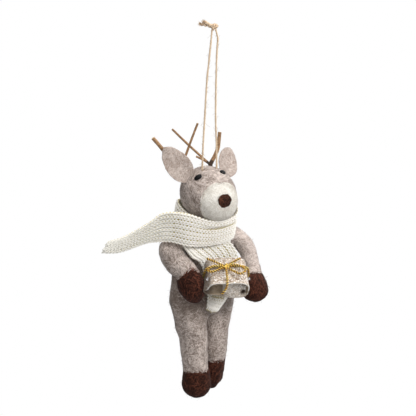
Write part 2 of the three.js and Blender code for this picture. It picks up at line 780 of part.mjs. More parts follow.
// Twine: each strand goes from its foot up a route of places, out from the middle as shares of half the
// hole spacing and down as shares of the drop
const strandTop = (sign) => point(sign * loopNeck / 2, 0, seatGap);
const strandRouteShares = {
  right: [[0.99, 0.81], [0.89, 0.64], [0.82, 0.47], [0.72, 0.33], [0.49, 0.165], [0.38, 0.09]],
  left: [[0.86, 0.81], [0.65, 0.65], [0.55, 0.47], [0.49, 0.24], [0.52, 0.105], [0.56, 0.055]],
};
const strands = [
  ['twine_right', -1, strandRouteShares.right],
  ['twine_left', 1, strandRouteShares.left],
];
strands.forEach(([name, sign, shares]) => {
  const route = [
    strandFoot(sign),
    strandFoot(sign).add(point(0, 0, twineDiameter)),
    ...shares.map(([out, down]) => point(sign * out * holeX, 0, -down * loopDrop)),
    strandTop(sign),
  ];
  const ceiling = beyond(strandTop(sign), point(0, 0, 1));
  const foot = bead(strandFoot(sign), twineDiameter, twineDiameter, twineDiameter);
  addPiece(name, cut(join(tube(route, twineDiameter, { steps: strandSteps }), foot), ceiling), jute);
});
addPiece('twine_knot', cut(loopKnot(), beyond(point(0, 0, 2 * seatGap), point(0, 0, -1))), jute);
addPiece('twine_thread', tube(threadPoints, twineDiameter, { steps: threadSteps }), jute);

// Head with its cap-shaped front, and the white muzzle felted over it
const headFull = headForm(0);
const capCore = headForm(-muzzle.wall);
const capCoreGrown = headForm(seatGap - muzzle.wall);
const front = beyond(muzzleBack, point(0, -1, 0));
const frontWithGap = beyond(muzzleBack.clone().add(point(0, seatGap, 0)), point(0, -1, 0));
const noseMiddle = point(
  0,
  headFront + nose.thickness * noseShares.sunk,
  headPlace.z + head.height * noseShares.rise,
);
const noseTurn = new THREE.Quaternion().setFromUnitVectors(point(0, 0, 1), point(0, -1, 0));
const noseDisc = (grow) => bead(
  noseMiddle, nose.width + 2 * grow, nose.height + 2 * grow, nose.thickness + 2 * grow, noseTurn,
);
const headPockets = [
  threadTunnel,
  neckWireBore,
  eyeBead(-1, seatGap),
  eyeBead(1, seatGap),
  rootHole(rightForkShares, rightRootShares),
  rootHole(leftForkShares, leftRootShares),
  noseDisc(seatGap),
];
const headBody = join(cut(headFull, frontWithGap), capCore.intersect(frontWithGap));
addPiece('head', cut(headBody, ...headPockets), wool);
addPiece('muzzle', cut(headFull.intersect(front), capCoreGrown, noseDisc(seatGap)), whiteWool);
addPiece('nose', noseDisc(0), brownWool);
addPiece('eye_right', eyeBead(-1, 0), blackBead);
addPiece('eye_left', eyeBead(1, 0), blackBead);
addPiece('ear_right', cut(earLeaf(-1, earRootShares.right, earTipShares.right), headGrown), paleWool);
addPiece('ear_left', cut(earLeaf(1, earRootShares.left, earTipShares.left), headGrown), paleWool);
addPiece('antler_right', antlerRight, bark);
addPiece('antler_left', antlerLeft, bark);

// Body
addPiece('torso', cut(torsoForm(0), headGrown, armWireBore, legWireBore, neckWireBore), wool);

// Limbs, each cut off where its brown end begins
function addLeg(side, sign, strideShares, hoofHeight) {
  const form = legForm(sign, strideShares, 0);
  const hoofTop = point(0, 0, legTop - leg.length + hoofHeight);
  const below = beyond(hoofTop, point(0, 0, -1));
  const belowWithGap = beyond(hoofTop.clone().add(point(0, 0, seatGap)), point(0, 0, -1));
  addPiece(`leg_${side}`, cut(form, torsoGrown, belowWithGap, legWireBore), wool);
  addPiece(`hoof_${side}`, cut(form.intersect(below), legWireBore), brownWool);
}

addLeg('right', -1, rightStrideShares, hoof.heightRight);
addLeg('left', 1, leftStrideShares, hoof.heightLeft);

function addArm(side, rows) {
  const form = armForm(rows, 0);
  const wrist = placeOnRows(rows, wristShares[side]);
  const onward = directionOnRows(rows, wristShares[side]);
  const past = beyond(wrist, onward);
  const pastWithGap = beyond(wrist.clone().addScaledVector(onward, -seatGap), onward);
  addPiece(`arm_${side}`, cut(form, torsoGrown, pastWithGap, armWireBore), wool);
  const handPart = handForm(rows).intersect(past);
  addPiece(`hand_${side}`, cut(handPart, parcelWithGap, bandGroove, armWireBore), brownWool);
}

addArm('right', rightArmRows);
addArm('left', leftArmRows);

addPiece('arm_wire', tube(armWirePoints, wire.diameter, wireCounts), steel);
addPiece('leg_wire', tube(legWirePoints, wire.diameter, wireCounts), steel);
addPiece('neck_wire', tube(neckWirePoints, wire.diameter, { steps: 1 }), steel);

// Scarf and parcel
addPiece('scarf', scarfStrip(), knit);
addPiece('parcel_wrap', parcelWrap(), glitter);
addPiece('gold_cord', goldTie(), gold);

// Dabs of hot glue in the grooves between the hands and the parcel's ends
[['glue_right', -1, rightArmRows], ['glue_left', 1, leftArmRows]].forEach(([name, sign, rows]) => {
  const { along, up } = gluePlaceShares;
  const groove = onParcel(sign * parcel.width / 2, along * parcel.length, up * parcel.height);
  const dab = bead(groove, glue.width, glue.length, glue.width, parcelTurn);
  addPiece(name, cut(dab, parcelWithGap, bandGroove, armForm(rows, seatGap)), clearGlue);
});

export default object;
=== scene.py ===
import math

import bpy
import numpy as np
from mathutils import Matrix, Quaternion, Vector


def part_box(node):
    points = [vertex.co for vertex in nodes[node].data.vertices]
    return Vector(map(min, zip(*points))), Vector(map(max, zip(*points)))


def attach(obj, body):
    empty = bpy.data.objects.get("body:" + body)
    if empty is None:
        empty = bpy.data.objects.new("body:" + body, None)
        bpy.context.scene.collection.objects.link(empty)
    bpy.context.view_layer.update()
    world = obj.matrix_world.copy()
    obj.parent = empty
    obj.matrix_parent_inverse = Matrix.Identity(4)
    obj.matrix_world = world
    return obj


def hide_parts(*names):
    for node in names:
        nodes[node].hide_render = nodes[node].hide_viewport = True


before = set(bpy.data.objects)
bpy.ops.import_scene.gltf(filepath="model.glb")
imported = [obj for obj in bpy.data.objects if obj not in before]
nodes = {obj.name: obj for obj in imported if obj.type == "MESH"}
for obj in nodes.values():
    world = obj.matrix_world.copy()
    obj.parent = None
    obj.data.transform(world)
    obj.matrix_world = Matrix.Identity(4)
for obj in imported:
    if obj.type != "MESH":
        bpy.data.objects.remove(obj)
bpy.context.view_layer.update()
MM = 0.001

# Tables and routes are in millimetres, as in the CAD, and become metres when a mesh is made.


# Material and world nodes

# A number socket in a node tree, with arithmetic
class Num:
    def __init__(self, tree, socket):
        self.tree, self.socket = tree, socket

    def math(self, operation, first, second):
        node = addNode(self.tree, "Math", {0: first, 1: second}, operation=operation)
        return Num(self.tree, node.outputs[0])

    def __add__(self, other): return self.math("ADD", self, other)
    def __radd__(self, other): return self.math("ADD", self, other)
    def __sub__(self, other): return self.math("SUBTRACT", self, other)
    def __rsub__(self, other): return self.math("SUBTRACT", other, self)
    def __mul__(self, other): return self.math("MULTIPLY", self, other)

    # 0 below low, 1 above high, smooth between
    def step(self, low, high):
        node = addNode(self.tree, "MapRange", {"Value": self, "From Min": low, "From Max": high},
                       interpolation_type="SMOOTHSTEP")
        return Num(self.tree, node.outputs[0])


# A node with its settings, each input linked to a socket or set to a number or a colour
def addNode(tree, kind, inputs, **settings):
    node = tree.nodes.new("ShaderNode" + kind)
    for key, value in settings.items():
        setattr(node, key, value)
    for key, value in inputs.items():
        if isinstance(value, Num):
            value = value.socket
        if isinstance(value, bpy.types.NodeSocket):
            tree.links.new(value, node.inputs[key])
        else:
            node.inputs[key].default_value = value
    return node


# Camera and light

cameraView = {"angles": (-30, 15, 1.9), "place": (-0.3756, -0.6504, 0.0887), "lens": 105.47}


# Camera axes from azimuth, elevation and roll: ahead = level*cos(e) - up*sin(e), then a turn about ahead
def placeCamera():
    azimuth, elevation, roll = (math.radians(angle) for angle in cameraView["angles"])
    level = Vector((-math.sin(azimuth), math.cos(azimuth), 0))
    right = Vector((math.cos(azimuth), math.sin(azimuth), 0))
    ahead = level * math.cos(elevation) - Vector((0, 0, math.sin(elevation)))
    above = level * math.sin(elevation) + Vector((0, 0, math.cos(elevation)))
    right, above = (right * math.cos(roll) + above * math.sin(roll),
                    above * math.cos(roll) - right * math.sin(roll))
    data = bpy.data.cameras.new("camera")
    data.lens, data.sensor_width = cameraView["lens"], 36
    data.clip_start, data.clip_end = 0.05, 30
    camera = bpy.data.objects.new("camera", data)
    turn = Matrix((right, above, -ahead)).transposed()
    camera.matrix_world = Matrix.Translation(cameraView["place"]) @ turn.to_4x4()
    bpy.context.scene.collection.objects.link(camera)
    bpy.context.scene.camera = camera


# Name, place, size across and watts of each light
lights = [
    ("key", (0.38, -0.86, 0.46), 0.5, 7.4), ("fill", (-0.60, -0.85, 0.60), 0.8, 3.6),
    ("top", (0.05, 0.15, 0.95), 0.6, 8), ("rim", (0.9, -0.05, 0.35), 0.6, 4.0),
]
figureMiddle = Vector((0, 0, -0.13))
worldStrength = 0.49


def addArea(name, place, size, watts):
    data = bpy.data.lights.new(name, "AREA")
    data.shape, data.size, data.energy = "DISK", size, watts
    light = bpy.data.objects.new(name, data)
    light.location = place
    light.rotation_euler = (figureMiddle - Vector(place)).to_track_quat("-Z", "Y").to_euler()
    bpy.context.scene.collection.objects.link(light)


# World: plain white where the camera or a clear drop looks at it, a softer glow as light
def setLight():
    world = bpy.data.worlds.new("studio")
    bpy.context.scene.world = world
    world.use_nodes = True
    tree = world.node_tree
    tree.nodes.clear()
    seen = addNode(tree, "LightPath", {})
    rays = {i: seen.outputs[ray] for i, ray in enumerate(("Is Camera Ray", "Is Transmission Ray"))}
    shares = {0: addNode(tree, "Math", rays, operation="MAXIMUM").outputs[0]}
    for i, (colour, strength) in enumerate((((0.97, 0.98, 1.0, 1), worldStrength), ((1, 1, 1, 1), 1.0))):
        shares[1 + i] = addNode(tree, "Background", {"Color": colour, "Strength": strength}).outputs[0]
    addNode(tree, "OutputWorld", {"Surface": addNode(tree, "MixShader", shares).outputs[0]})
    for light in lights:
        addArea(*light)


placeCamera()
setLight()
bpy.context.scene.view_settings.view_transform = "Standard"
bpy.context.scene.view_settings.look = "None"


# Numbers and noise

# Repeatable number in 0..1 for each whole-numbered lattice corner
def cornerValue(x, y, z, seed):
    h = (x * 374761393 + y * 668265263 + z * 2147483629 + seed * 1274126177) & 0xFFFFFFFF
    h = ((h ^ (h >> 13)) * 1274126177) & 0xFFFFFFFF
    h = ((h ^ (h >> 15)) * 2246822519) & 0xFFFFFFFF
    return ((h ^ (h >> 16)) & 0xFFFFFF) / float(0xFFFFFF)


askew = np.array(Matrix.Rotation(0.9, 3, Vector((1, 2, 3))) @ Matrix.Rotation(0.7, 3, Vector((3, -1, 1))))


# Value noise in -1..1 on a turned lattice: eight corner values blended by t*t*(3 - 2*t) on each axis
def noiseAt(points, size, seed):
    scaled = np.asarray(points) @ askew / size + 1000.0
    base = np.floor(scaled).astype(np.int64)
    t = scaled - base
    t = t * t * (3 - 2 * t)
    total = 0.0
    for i in (0, 1):
        for j in (0, 1):
            for k in (0, 1):
                weight = (t[..., 0] if i else 1 - t[..., 0]) * (t[..., 1] if j else 1 - t[..., 1])
                weight = weight * (t[..., 2] if k else 1 - t[..., 2])
                corner = cornerValue(base[..., 0] + i, base[..., 1] + j, base[..., 2] + k, seed)
                total = total + weight * corner
    return total * 2 - 1


def smooth(low, high, x):
    t = np.clip((x - low) / (high - low), 0, 1)
    return t * t * (3 - 2 * t)


def unit(v):
    return v / np.maximum(np.linalg.norm(v, axis=-1, keepdims=True), 1e-12)


# Table value at places along it: the cubic with the slopes of the neighbouring rows, as in the CAD
def alongRows(rows, places):
    table = np.asarray(rows, float)
    places = np.asarray(places, float)
    i = np.searchsorted(table[1:-1, 0], places, side="left")
    start, end = table[i], table[i + 1]
    before, after = table[np.maximum(i - 1, 0)], table[np.minimum(i + 2, len(table) - 1)]
    span = (end[:, 0] - start[:, 0])[:, None]
    u = (places - start[:, 0])[:, None] / span
    slopeStart = (end - before)[:, 1:] / (end - before)[:, :1] * span
    slopeEnd = (after - start)[:, 1:] / (after - start)[:, :1] * span
    rise = (end - start)[:, 1:]
    return (start[:, 1:] + u * slopeStart + u * u * (3 * rise - 2 * slopeStart - slopeEnd)
            + u ** 3 * (slopeStart + slopeEnd - 2 * rise))


# Way ahead along a table whose first three values are a place
def aheadAlong(rows, place, step):
    return unit(alongRows(rows, np.minimum(1, place + step))[:, :3]
                - alongRows(rows, np.maximum(0, place - step))[:, :3])


# Meshes

noTris = np.zeros((0, 3), np.int64)


# A piece from a part's points in millimetres, quads and triangles, on its body and in place of the CAD
# pieces named last, with one float attribute for each named set of values
def makePiece(name, part, body, slot, material, *replaced, **values):
    mesh = bpy.data.meshes.new(name)
    points, quads, tris = part[:3]
    points = np.asarray(points, float).reshape(-1, 3)
    quads = np.asarray(quads, np.int64).reshape(-1, 4)
    mesh.vertices.add(len(points))
    mesh.vertices.foreach_set("co", (points * MM).astype(np.float32).ravel())
    loops = np.concatenate([quads.ravel(), tris.ravel()]).astype(np.int32)
    mesh.loops.add(len(loops))
    mesh.loops.foreach_set("vertex_index", loops)
    starts = np.concatenate([np.arange(len(quads)) * 4, len(quads) * 4 + np.arange(len(tris)) * 3])
    mesh.polygons.add(len(starts))
    mesh.polygons.foreach_set("loop_start", starts.astype(np.int32))
    mesh.polygons.foreach_set("use_smooth", np.full(len(starts), True))
    mesh.update(calc_edges=True)
    for key, value in values.items():
        layer = mesh.attributes.new(key, "FLOAT", "POINT")
        layer.data.foreach_set("value", np.ravel(value).astype(np.float32))
    piece = bpy.data.objects.new(name, mesh)
    bpy.context.scene.collection.objects.link(piece)
    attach(piece, body)
    mesh.materials.append(material)
    if replaced:
        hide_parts(*replaced)
    return piece


# Quads of a grid of rows by columns, whose columns close into a ring
def gridQuads(rows, columns):
    i, j = np.meshgrid(np.arange(rows - 1), np.arange(columns), indexing="ij")
    k = (j + 1) % columns
    return np.stack([i * columns + j, i * columns + k, (i + 1) * columns + k, (i + 1) * columns + j],
                    -1).reshape(-1, 4)


# Closed tube of rings: a grid with one point in the middle of each end
def closedGrid(grid):
    rows, columns = grid.shape[:2]
    points = np.concatenate([grid.reshape(-1, 3), grid[:1].mean(1), grid[-1:].mean(1)])
    j = np.arange(columns)
    k = (j + 1) % columns
    a, b = rows * columns, rows * columns + 1
    last = (rows - 1) * columns
    tris = np.concatenate([np.stack([np.full(columns, a), k, j], -1),
                           np.stack([np.full(columns, b), last + j, last + k], -1)])
    return points, gridQuads(rows, columns), tris


# A closed tube with one value per point, and one more for the middle of each end
def cappedPart(grid, values, ends):
    points, quads, tris = closedGrid(grid)
    return points, quads, tris, np.concatenate([np.ravel(values), np.broadcast_to(ends, 2)])


# Outward normals of a ringed grid: the cross product of its two running differences
def gridNormals(grid):
    return unit(np.cross(np.roll(grid, -1, 1) - np.roll(grid, 1, 1), np.gradient(grid, axis=0)))


# Angles round a ring
def turnAngles(count):
    return np.linspace(0, 2 * np.pi, count, endpoint=False)


# Angles over a ball, down from its pole and around it, and the ball's points in those angles
def ballAngles(margin, rows, columns):
    return np.meshgrid(np.linspace(margin, np.pi - margin, rows), turnAngles(columns), indexing="ij")


def ballPoints(margin, rows, columns):
    down, around = ballAngles(margin, rows, columns)
    return np.stack([np.sin(down) * np.cos(around), np.sin(down) * np.sin(around), np.cos(down)], -1)


# Frames along a path: each across vector is the last one with its share along the new tangent removed
def pathFrames(path):
    tangents = unit(np.gradient(path, axis=0))
    across = np.zeros_like(path)
    last = np.array((1.0, 0.02, 0.01))
    for i, t in enumerate(tangents):
        last = last - t * (last @ t)
        if np.linalg.norm(last) < 1e-6:
            last = np.cross(t, (0.3, 0.5, 0.8))
        last = last / np.linalg.norm(last)
        across[i] = last
    return across, np.cross(tangents, across)


# Rings round a path: centre + across*cos(angle)*width + over*sin(angle)*depth
def ringsRound(path, across, over, angle, width, depth):
    return (path[:, None] + across[:, None] * (np.cos(angle) * width)[..., None]
            + over[:, None] * (np.sin(angle) * depth)[..., None])


# Length along a path at each of its points
def runOf(path):
    return np.concatenate([[0], np.cumsum(np.linalg.norm(np.diff(path, axis=0), axis=1))])


# Points on the smooth curve through a route: Catmull-Rom, evenly spaced afterwards
def smoothRoute(route, spacing, closed=False):
    route = np.asarray(route, float)
    if closed:
        padded = np.concatenate([route[-1:], route, route[:2]])
    else:
        padded = np.concatenate([2 * route[:1] - route[1:2], route, 2 * route[-1:] - route[-2:-1]])
    t = np.linspace(0, 1, 24, endpoint=False)[:, None]
    parts = [b + 0.5 * t * (c - a) + t * t * (a - 2.5 * b + 2 * c - 0.5 * d)
             + t ** 3 * (1.5 * b - 0.5 * a - 1.5 * c + 0.5 * d)
             for a, b, c, d in zip(padded[:-3], padded[1:-2], padded[2:-1], padded[3:])]
    dense = np.concatenate([*parts, padded[-2:-1]])
    steps = runOf(dense)
    count = max(4, int(steps[-1] / spacing))
    even = np.linspace(0, steps[-1], count + 1)
    return np.stack([np.interp(even, steps, dense[:, k]) for k in range(3)], -1)


# Twisted cord: its outline is that of some round plies side by side, turned once per pitch.
# Edge of a ply at angle a from its middle: far*cos(a) + sqrt(r*r - far*far*sin(a)^2)
def pliedGrid(path, radius, plies, pitch, sides=18, ply=0.56, swell=None):
    across, over = pathFrames(path)
    angle = turnAngles(sides)[None]
    turn = 2 * np.pi * runOf(path)[:, None] / pitch
    sector = 2 * np.pi / plies
    off = (angle - turn + sector / 2) % sector - sector / 2
    far, r = 1 - ply, ply
    edge = far * np.cos(off) + np.sqrt(np.maximum(r * r - (far * np.sin(off)) ** 2, 0.01))
    size = radius * edge * (1 if swell is None else np.asarray(swell)[:, None])
    return ringsRound(path, across, over, angle, size, size), edge / edge.max()


# Parts of points, quads, triangles and values as one such part
def joinParts(parts):
    points, quads, tris, extra, first = [], [], [], [], 0
    for p, q, t, e in parts:
        points.append(np.asarray(p).reshape(-1, 3))
        quads.append(np.asarray(q).reshape(-1, 4) + first)
        tris.append(np.asarray(t).reshape(-1, 3) + first)
        extra.append(np.reshape(e, (len(points[-1]), -1)))
        first += len(points[-1])
    return np.concatenate(points), np.concatenate(quads), np.concatenate(tris), np.concatenate(extra)


# Materials

# A material whose inputs are built up from noise, cells and the attributes of a mesh
class Look:
    def __init__(self, name, **constants):
        self.material = bpy.data.materials.new(name)
        self.material.use_nodes = True
        self.tree = self.material.node_tree
        self.tree.nodes.clear()
        self.shader = self.node("BsdfPrincipled",
                                {key.replace("_", " "): value for key, value in constants.items()})
        self.out = self.node("OutputMaterial", {"Surface": self.shader.outputs[0]})
        self.coords = self.node("TexCoord", {}).outputs["Object"]

    def node(self, kind, inputs, **settings):
        return addNode(self.tree, kind, inputs, **settings)

    # Object coordinates in millimetres, turned and stretched by a factor per axis
    # and bent by up to the amount where a warp is given
    def space(self, stretch=(1, 1, 1), turn=(0, 0, 0), warp=None, amount=0.0):
        coords = self.coords
        if warp is not None:
            coords = self.node("VectorMath", {0: warp, 1: (amount * MM,) * 3, 2: coords},
                               operation="MULTIPLY_ADD").outputs[0]
        scale = tuple(s * MM for s in stretch)
        return self.node("Mapping", {"Vector": coords, "Rotation": turn, "Scale": scale},
                         vector_type="TEXTURE").outputs[0]

    def noise(self, size, detail=2.0, space=None, colour=False, rough=0.5):
        node = self.node("TexNoise", {"Vector": space or self.space(), "Scale": 1.0 / size, "Detail": detail,
                                      "Roughness": rough})
        return node.outputs["Color"] if colour else Num(self.tree, node.outputs[0])

    def cells(self, size, output="Color"):
        socket = self.node("TexVoronoi", {"Vector": self.space(), "Scale": 1.0 / size}).outputs[output]
        return Num(self.tree, socket) if output == "Distance" else socket

    def value(self, name):
        return Num(self.tree, self.node("Attribute", {}, attribute_name=name).outputs["Fac"])

    def channel(self, colour, index):
        return Num(self.tree, self.node("SeparateColor", {0: colour}).outputs[index])

    # Colours are sockets, or tuples in sRGB 0..255
    def mix(self, share, *colours):
        first, second = (tuple(linear(c) for c in colour) + (1,) if isinstance(colour, tuple) else colour
                         for colour in colours)
        return self.node("Mix", {"Factor": share, 6: first, 7: second}, data_type="RGBA").outputs[2]

    def colour(self, socket):
        self.tree.links.new(socket, self.shader.inputs["Base Color"])

    def link(self, name, number):
        self.tree.links.new(number.socket, self.shader.inputs[name])

    def bump(self, height, distance, strength=1.0):
        node = self.node("Bump", {"Distance": distance * MM, "Strength": strength, "Height": height})
        self.tree.links.new(node.outputs[0], self.shader.inputs["Normal"])


# sRGB 0..255 to linear light
def linear(value):
    c = value / 255
    return c / 12.92 if c <= 0.04045 else ((c + 0.055) / 1.055) ** 2.4


# Streaks of wool: noise drawn out along one direction of space, bent by a soft warp
def woolStreaks(look, size=0.62, reach=8.0):
    bend = look.noise(5.0, 1.0, colour=True)
    sets = []
    for turn in ((0.2, 0.5, 0.3), (1.2, -0.4, 1.1), (-0.6, 1.3, 2.2), (0.4, 0.2, -0.9)):
        space = look.space((1, 1, reach), turn, bend, 3.2)
        sets.append(look.noise(size, 1.5, space))
    pick = look.noise(3.6, 1.0)
    first = pick.step(0.44, 0.56)
    second = look.noise(4.4, 1.0, look.space((1, 1, 1), (1, 2, 3))).step(0.43, 0.57)
    half = sets[0] * first + sets[1] * (1 - first)
    other = sets[2] * first + sets[3] * (1 - first)
    return half * second + other * (1 - second)


# Felted wool in up to two colourings, each a dark, a middle and a light one. The attribute "other"
# says where the second one takes over, with a rim in a colour of its own between them.
def woolLook(name, first, second=None, rim=None, lumps=1.0, sheen=0.3, ragged=0.8):
    look = Look(name, Roughness=0.92, Sheen_Weight=sheen, Sheen_Roughness=0.4, Specular_IOR_Level=0.05)
    streaks = woolStreaks(look)
    patches = look.noise(6.5, 2.0)
    fine = look.noise(0.55, 3.0, rough=0.65)
    tone = streaks * 0.70 + fine * 0.12 + patches * 0.18

    def coloured(colours):
        low = look.mix(tone.step(0.38, 0.50), colours[0], colours[1])
        mixed = look.mix(tone.step(0.52, 0.64), low, colours[2])
        # painted shade: "deep" pulls the colour towards the darkest tone
        return look.mix(look.value("deep") * 0.6, mixed, colours[0])

    if second is None:
        look.colour(coloured(first))
    else:
        border = look.value("other") + (streaks - 0.5) * ragged + (fine - 0.5) * 0.3
        blended = look.mix(border.step(0.36, 0.50), coloured(first), rim)
        look.colour(look.mix(border.step(0.50, 0.62), blended, coloured(second)))
    look.bump(streaks * 0.6 + fine * 0.45 + patches * 0.25, 0.55 * lumps, 0.9)
    return look.material


# Dark, middle and light tone of each wool
greyTones = ((132, 117, 107), (168, 153, 143), (200, 186, 177))
paleTones = ((160, 143, 132), (178, 162, 152), (194, 180, 171))
# painted light: the left arm's tones are a lighter copy of the grey wool's, for the light that falls on it
litArmTones = ((158, 143, 134), (182, 168, 159), (204, 191, 183))
whiteTones = ((200, 193, 180), (216, 211, 201), (228, 224, 216))
brownTones = ((30, 16, 13), (48, 28, 22), (76, 43, 33))


# Fibres: flat ribbons that carry their own shade in "shade"
def fibreLook(name, dark, light, glow=0.2):
    look = Look(name, Roughness=0.85, Sheen_Weight=glow, Specular_IOR_Level=0.08)
    shade = look.value("shade")
    look.colour(look.mix((shade + (look.noise(2.0, 1.0) - 0.5) * 0.2).step(0, 1), dark, light))
    return look.material


print("helpers ready")


# Felted forms

sideAxis = np.array([1.0, 0, 0])


# Places 0..1, close together towards both ends
def easedPlaces(count):
    return (1 - np.cos(np.pi * np.linspace(0, 1, count))) / 2


# Rings square to a spine, their radii rounded off over each cap: round = sqrt(1 - inCap^2)
def feltGrid(rows, rings, sides, capStart=0.0, capEnd=0.0, begin=0.0):
    even, eased = np.linspace(0, 1, rings + 1), easedPlaces(rings + 1)
    place = begin + (1 - begin) * (even + 2 * eased) / 3 if begin else eased
    place = np.clip(place, 2e-5, 1 - 2e-5)
    at = alongRows(rows, place)
    inStart = np.maximum(0, 1 - place / capStart) if capStart else np.zeros_like(place)
    inEnd = np.maximum(0, 1 - (1 - place) / capEnd) if capEnd else np.zeros_like(place)
    rounded = np.sqrt(np.maximum(0, 1 - np.maximum(inStart, inEnd) ** 2))
    tangent = aheadAlong(rows, place, 1e-3)
    across = unit(sideAxis - tangent * (tangent @ sideAxis)[:, None])
    over = np.cross(tangent, across)
    angle = turnAngles(sides)[None]
    return ringsRound(at[:, :3], across, over, angle, (at[:, 3] * rounded)[:, None],
                      (at[:, 4] * rounded)[:, None])


# Lumps of felted wool in millimetres: three sizes of noise, and the small pits that the needle leaves,
# where a fourth noise is over 0.45
def woolLumps(points, seed, amount=1.0):
    pits = np.maximum(0, noiseAt(points, 1.9, seed + 5) - 0.45)
    return amount * (0.42 * noiseAt(points, 7.5, seed) + 0.22 * noiseAt(points, 3.0, seed + 1)
                     + 0.12 * noiseAt(points, 1.3, seed + 2) - 0.5 * pits)


# Signed distance to a form, from the nearest point of a coarse sample of it and that point's normal:
# side = away.normal inside, and sqrt((side^2 + |away|^2)/2) outside
def distanceTo(points, sample, normals, within):
    flat = points.reshape(-1, 3)
    low, high = sample.min(0) - within, sample.max(0) + within
    near = np.where(((flat > low) & (flat < high)).all(1))[0]
    result = np.full(len(flat), 1e3)
    for chunk in np.array_split(near, max(1, len(near) // 1500)):
        if len(chunk) == 0:
            continue
        gap = ((flat[chunk][:, None] - sample[None]) ** 2).sum(-1)
        nearest = gap.argmin(1)
        away = flat[chunk] - sample[nearest]
        side = (away * normals[nearest]).sum(1)
        straight = gap[np.arange(len(chunk)), nearest]
        result[chunk] = np.where(side < 0, side, np.sqrt(side ** 2 * 0.5 + straight * 0.5))
    return result.reshape(points.shape[:-1])


# Two felted forms grow into each other: near the other one a surface rises by reach/4*(1 - |d|/reach)^2
def meld(grid, other, reach):
    d = distanceTo(grid, *other, reach)
    return reach / 4 * np.clip(1 - np.abs(d) / reach, 0, 1) ** 2


# Sizes and shares of the felted forms, as in the CAD's tables

loopDrop = 87.0
crown = np.array([0, 0, -loopDrop])
headPlace = np.array([0, 2.1, -loopDrop - 16.3])
headSize = {"length": 40.1, "width": 34.8, "height": 34.6, "back": 17.3}
headShares = [
    (0.00, 0.000, 0.500, 0.500), (0.43, 0.000, 0.500, 0.500), (0.58, -0.020, 0.486, 0.474),
    (0.73, -0.056, 0.434, 0.412), (0.86, -0.062, 0.384, 0.366), (1.00, -0.030, 0.370, 0.350),
]
headRows = [(s, headPlace[0], headPlace[1] + headSize["back"] - s * headSize["length"],
             headPlace[2] + rise * headSize["height"], w * headSize["width"], h * headSize["height"])
            for s, rise, w, h in headShares]
headCaps = {"capStart": 0.43, "capEnd": 0.23}
muzzleBack = headPlace[1] + headSize["back"] - headSize["length"] + 7.2

torsoTop = -loopDrop - 30.0
torsoShares = [
    (0.00, 0.40, 0.216, 0.270), (0.06, 0.46, 0.228, 0.280), (0.13, 0.66, 0.312, 0.305),
    (0.21, 0.78, 0.397, 0.345), (0.32, 0.86, 0.450, 0.400), (0.47, 0.94, 0.478, 0.454),
    (0.64, 1.00, 0.495, 0.487), (0.78, 1.00, 0.500, 0.500), (0.90, 0.96, 0.490, 0.490),
    (1.00, 0.90, 0.470, 0.470),
]
torsoSize = {"belly": 5.4, "length": 69, "width": 41.6, "depth": 30.4}
torsoRows = [(d, 0, b * torsoSize["belly"], torsoTop - d * torsoSize["length"], w * torsoSize["width"],
              h * torsoSize["depth"]) for d, b, w, h in torsoShares]

legTop = torsoTop - 50.0
legSize = {"length": 71.4, "out": 21, "stride": 10, "width": 19.2, "depth": 21}
legShares = [
    (0.000, 0.505, 0.490, 0.490), (0.275, 0.520, 0.530, 0.520), (0.433, 0.452, 0.462, 0.458),
    (0.572, 0.428, 0.445, 0.434), (0.702, 0.412, 0.428, 0.412), (0.763, 0.405, 0.450, 0.424),
    (0.860, 0.392, 0.486, 0.462), (1.000, 0.380, 0.440, 0.430),
]
strideShares = {
    "right": (-0.25, 0.08, 0.30, 0.37, 0.49, 0.56, 0.68, 0.74),
    "left": (-0.62, -0.50, -0.26, -0.22, -0.26, -0.28, -0.33, -0.38),
}
hoofHeights = {"right": 18.4, "left": 21.2}
signs = {"right": -1, "left": 1}


def legRows(side):
    return [(d, signs[side] * out * legSize["out"], -stride * legSize["stride"],
             legTop - d * legSize["length"], w * legSize["width"], h * legSize["depth"])
            for (d, out, w, h), stride in zip(legShares, strideShares[side])]


# Place along the arm, out, forward, down and girth, as shares of the arm's sizes
armShares = {
    "right": [
        (0.00, 0.54, -0.09, 0.525, 0.46), (0.17, 0.80, -0.15, 0.595, 0.50), (0.30, 0.90, -0.11, 0.64, 0.50),
        (0.48, 0.94, 0.18, 0.69, 0.475), (0.65, 0.865, 0.44, 0.727, 0.415), (0.71, 0.85, 0.49, 0.755, 0.44),
        (0.83, 0.792, 0.535, 0.826, 0.49), (1.00, 0.65, 0.59, 0.955, 0.37),
    ],
    "left": [
        (0.00, 0.50, -0.03, 0.53, 0.42), (0.17, 0.79, 0.05, 0.556, 0.385), (0.32, 0.925, 0.20, 0.61, 0.355),
        (0.48, 0.965, 0.36, 0.69, 0.335), (0.65, 0.905, 0.58, 0.785, 0.33), (0.71, 0.87, 0.65, 0.815, 0.375),
        (0.83, 0.81, 0.76, 0.875, 0.51), (1.00, 0.775, 0.78, 0.985, 0.46),
    ],
}
armSize = {"length": 62.0, "out": 26, "forward": 34, "down": 84, "arm": 16, "hand": 17.2}


def armRows(side):
    rows = []
    for place, out, forward, down, girth in armShares[side]:
        thick = girth * armSize["hand" if place > 0.7 else "arm"]
        rows.append((place, signs[side] * out * armSize["out"], -forward * armSize["forward"],
                     crown[2] - down * armSize["down"], thick, thick))
    return rows


armCaps = {"capStart": 0.1, "capEnd": 0.14}
legCaps = {"capStart": 0.12, "capEnd": 0.13}
wristShares = {"right": 0.66, "left": 0.70}


# Coarse points and normals of a form, for the distances to it
def sampleOf(rows, **caps):
    grid = feltGrid(rows, 46, 48, **caps)
    return grid.reshape(-1, 3), gridNormals(grid).reshape(-1, 3)


samples = {"torso": sampleOf(torsoRows, capEnd=0.2), "head": sampleOf(headRows, **headCaps)}
for side in ("right", "left"):
    samples["leg_" + side] = sampleOf(legRows(side), **legCaps)
    samples["arm_" + side] = sampleOf(armRows(side), **armCaps)

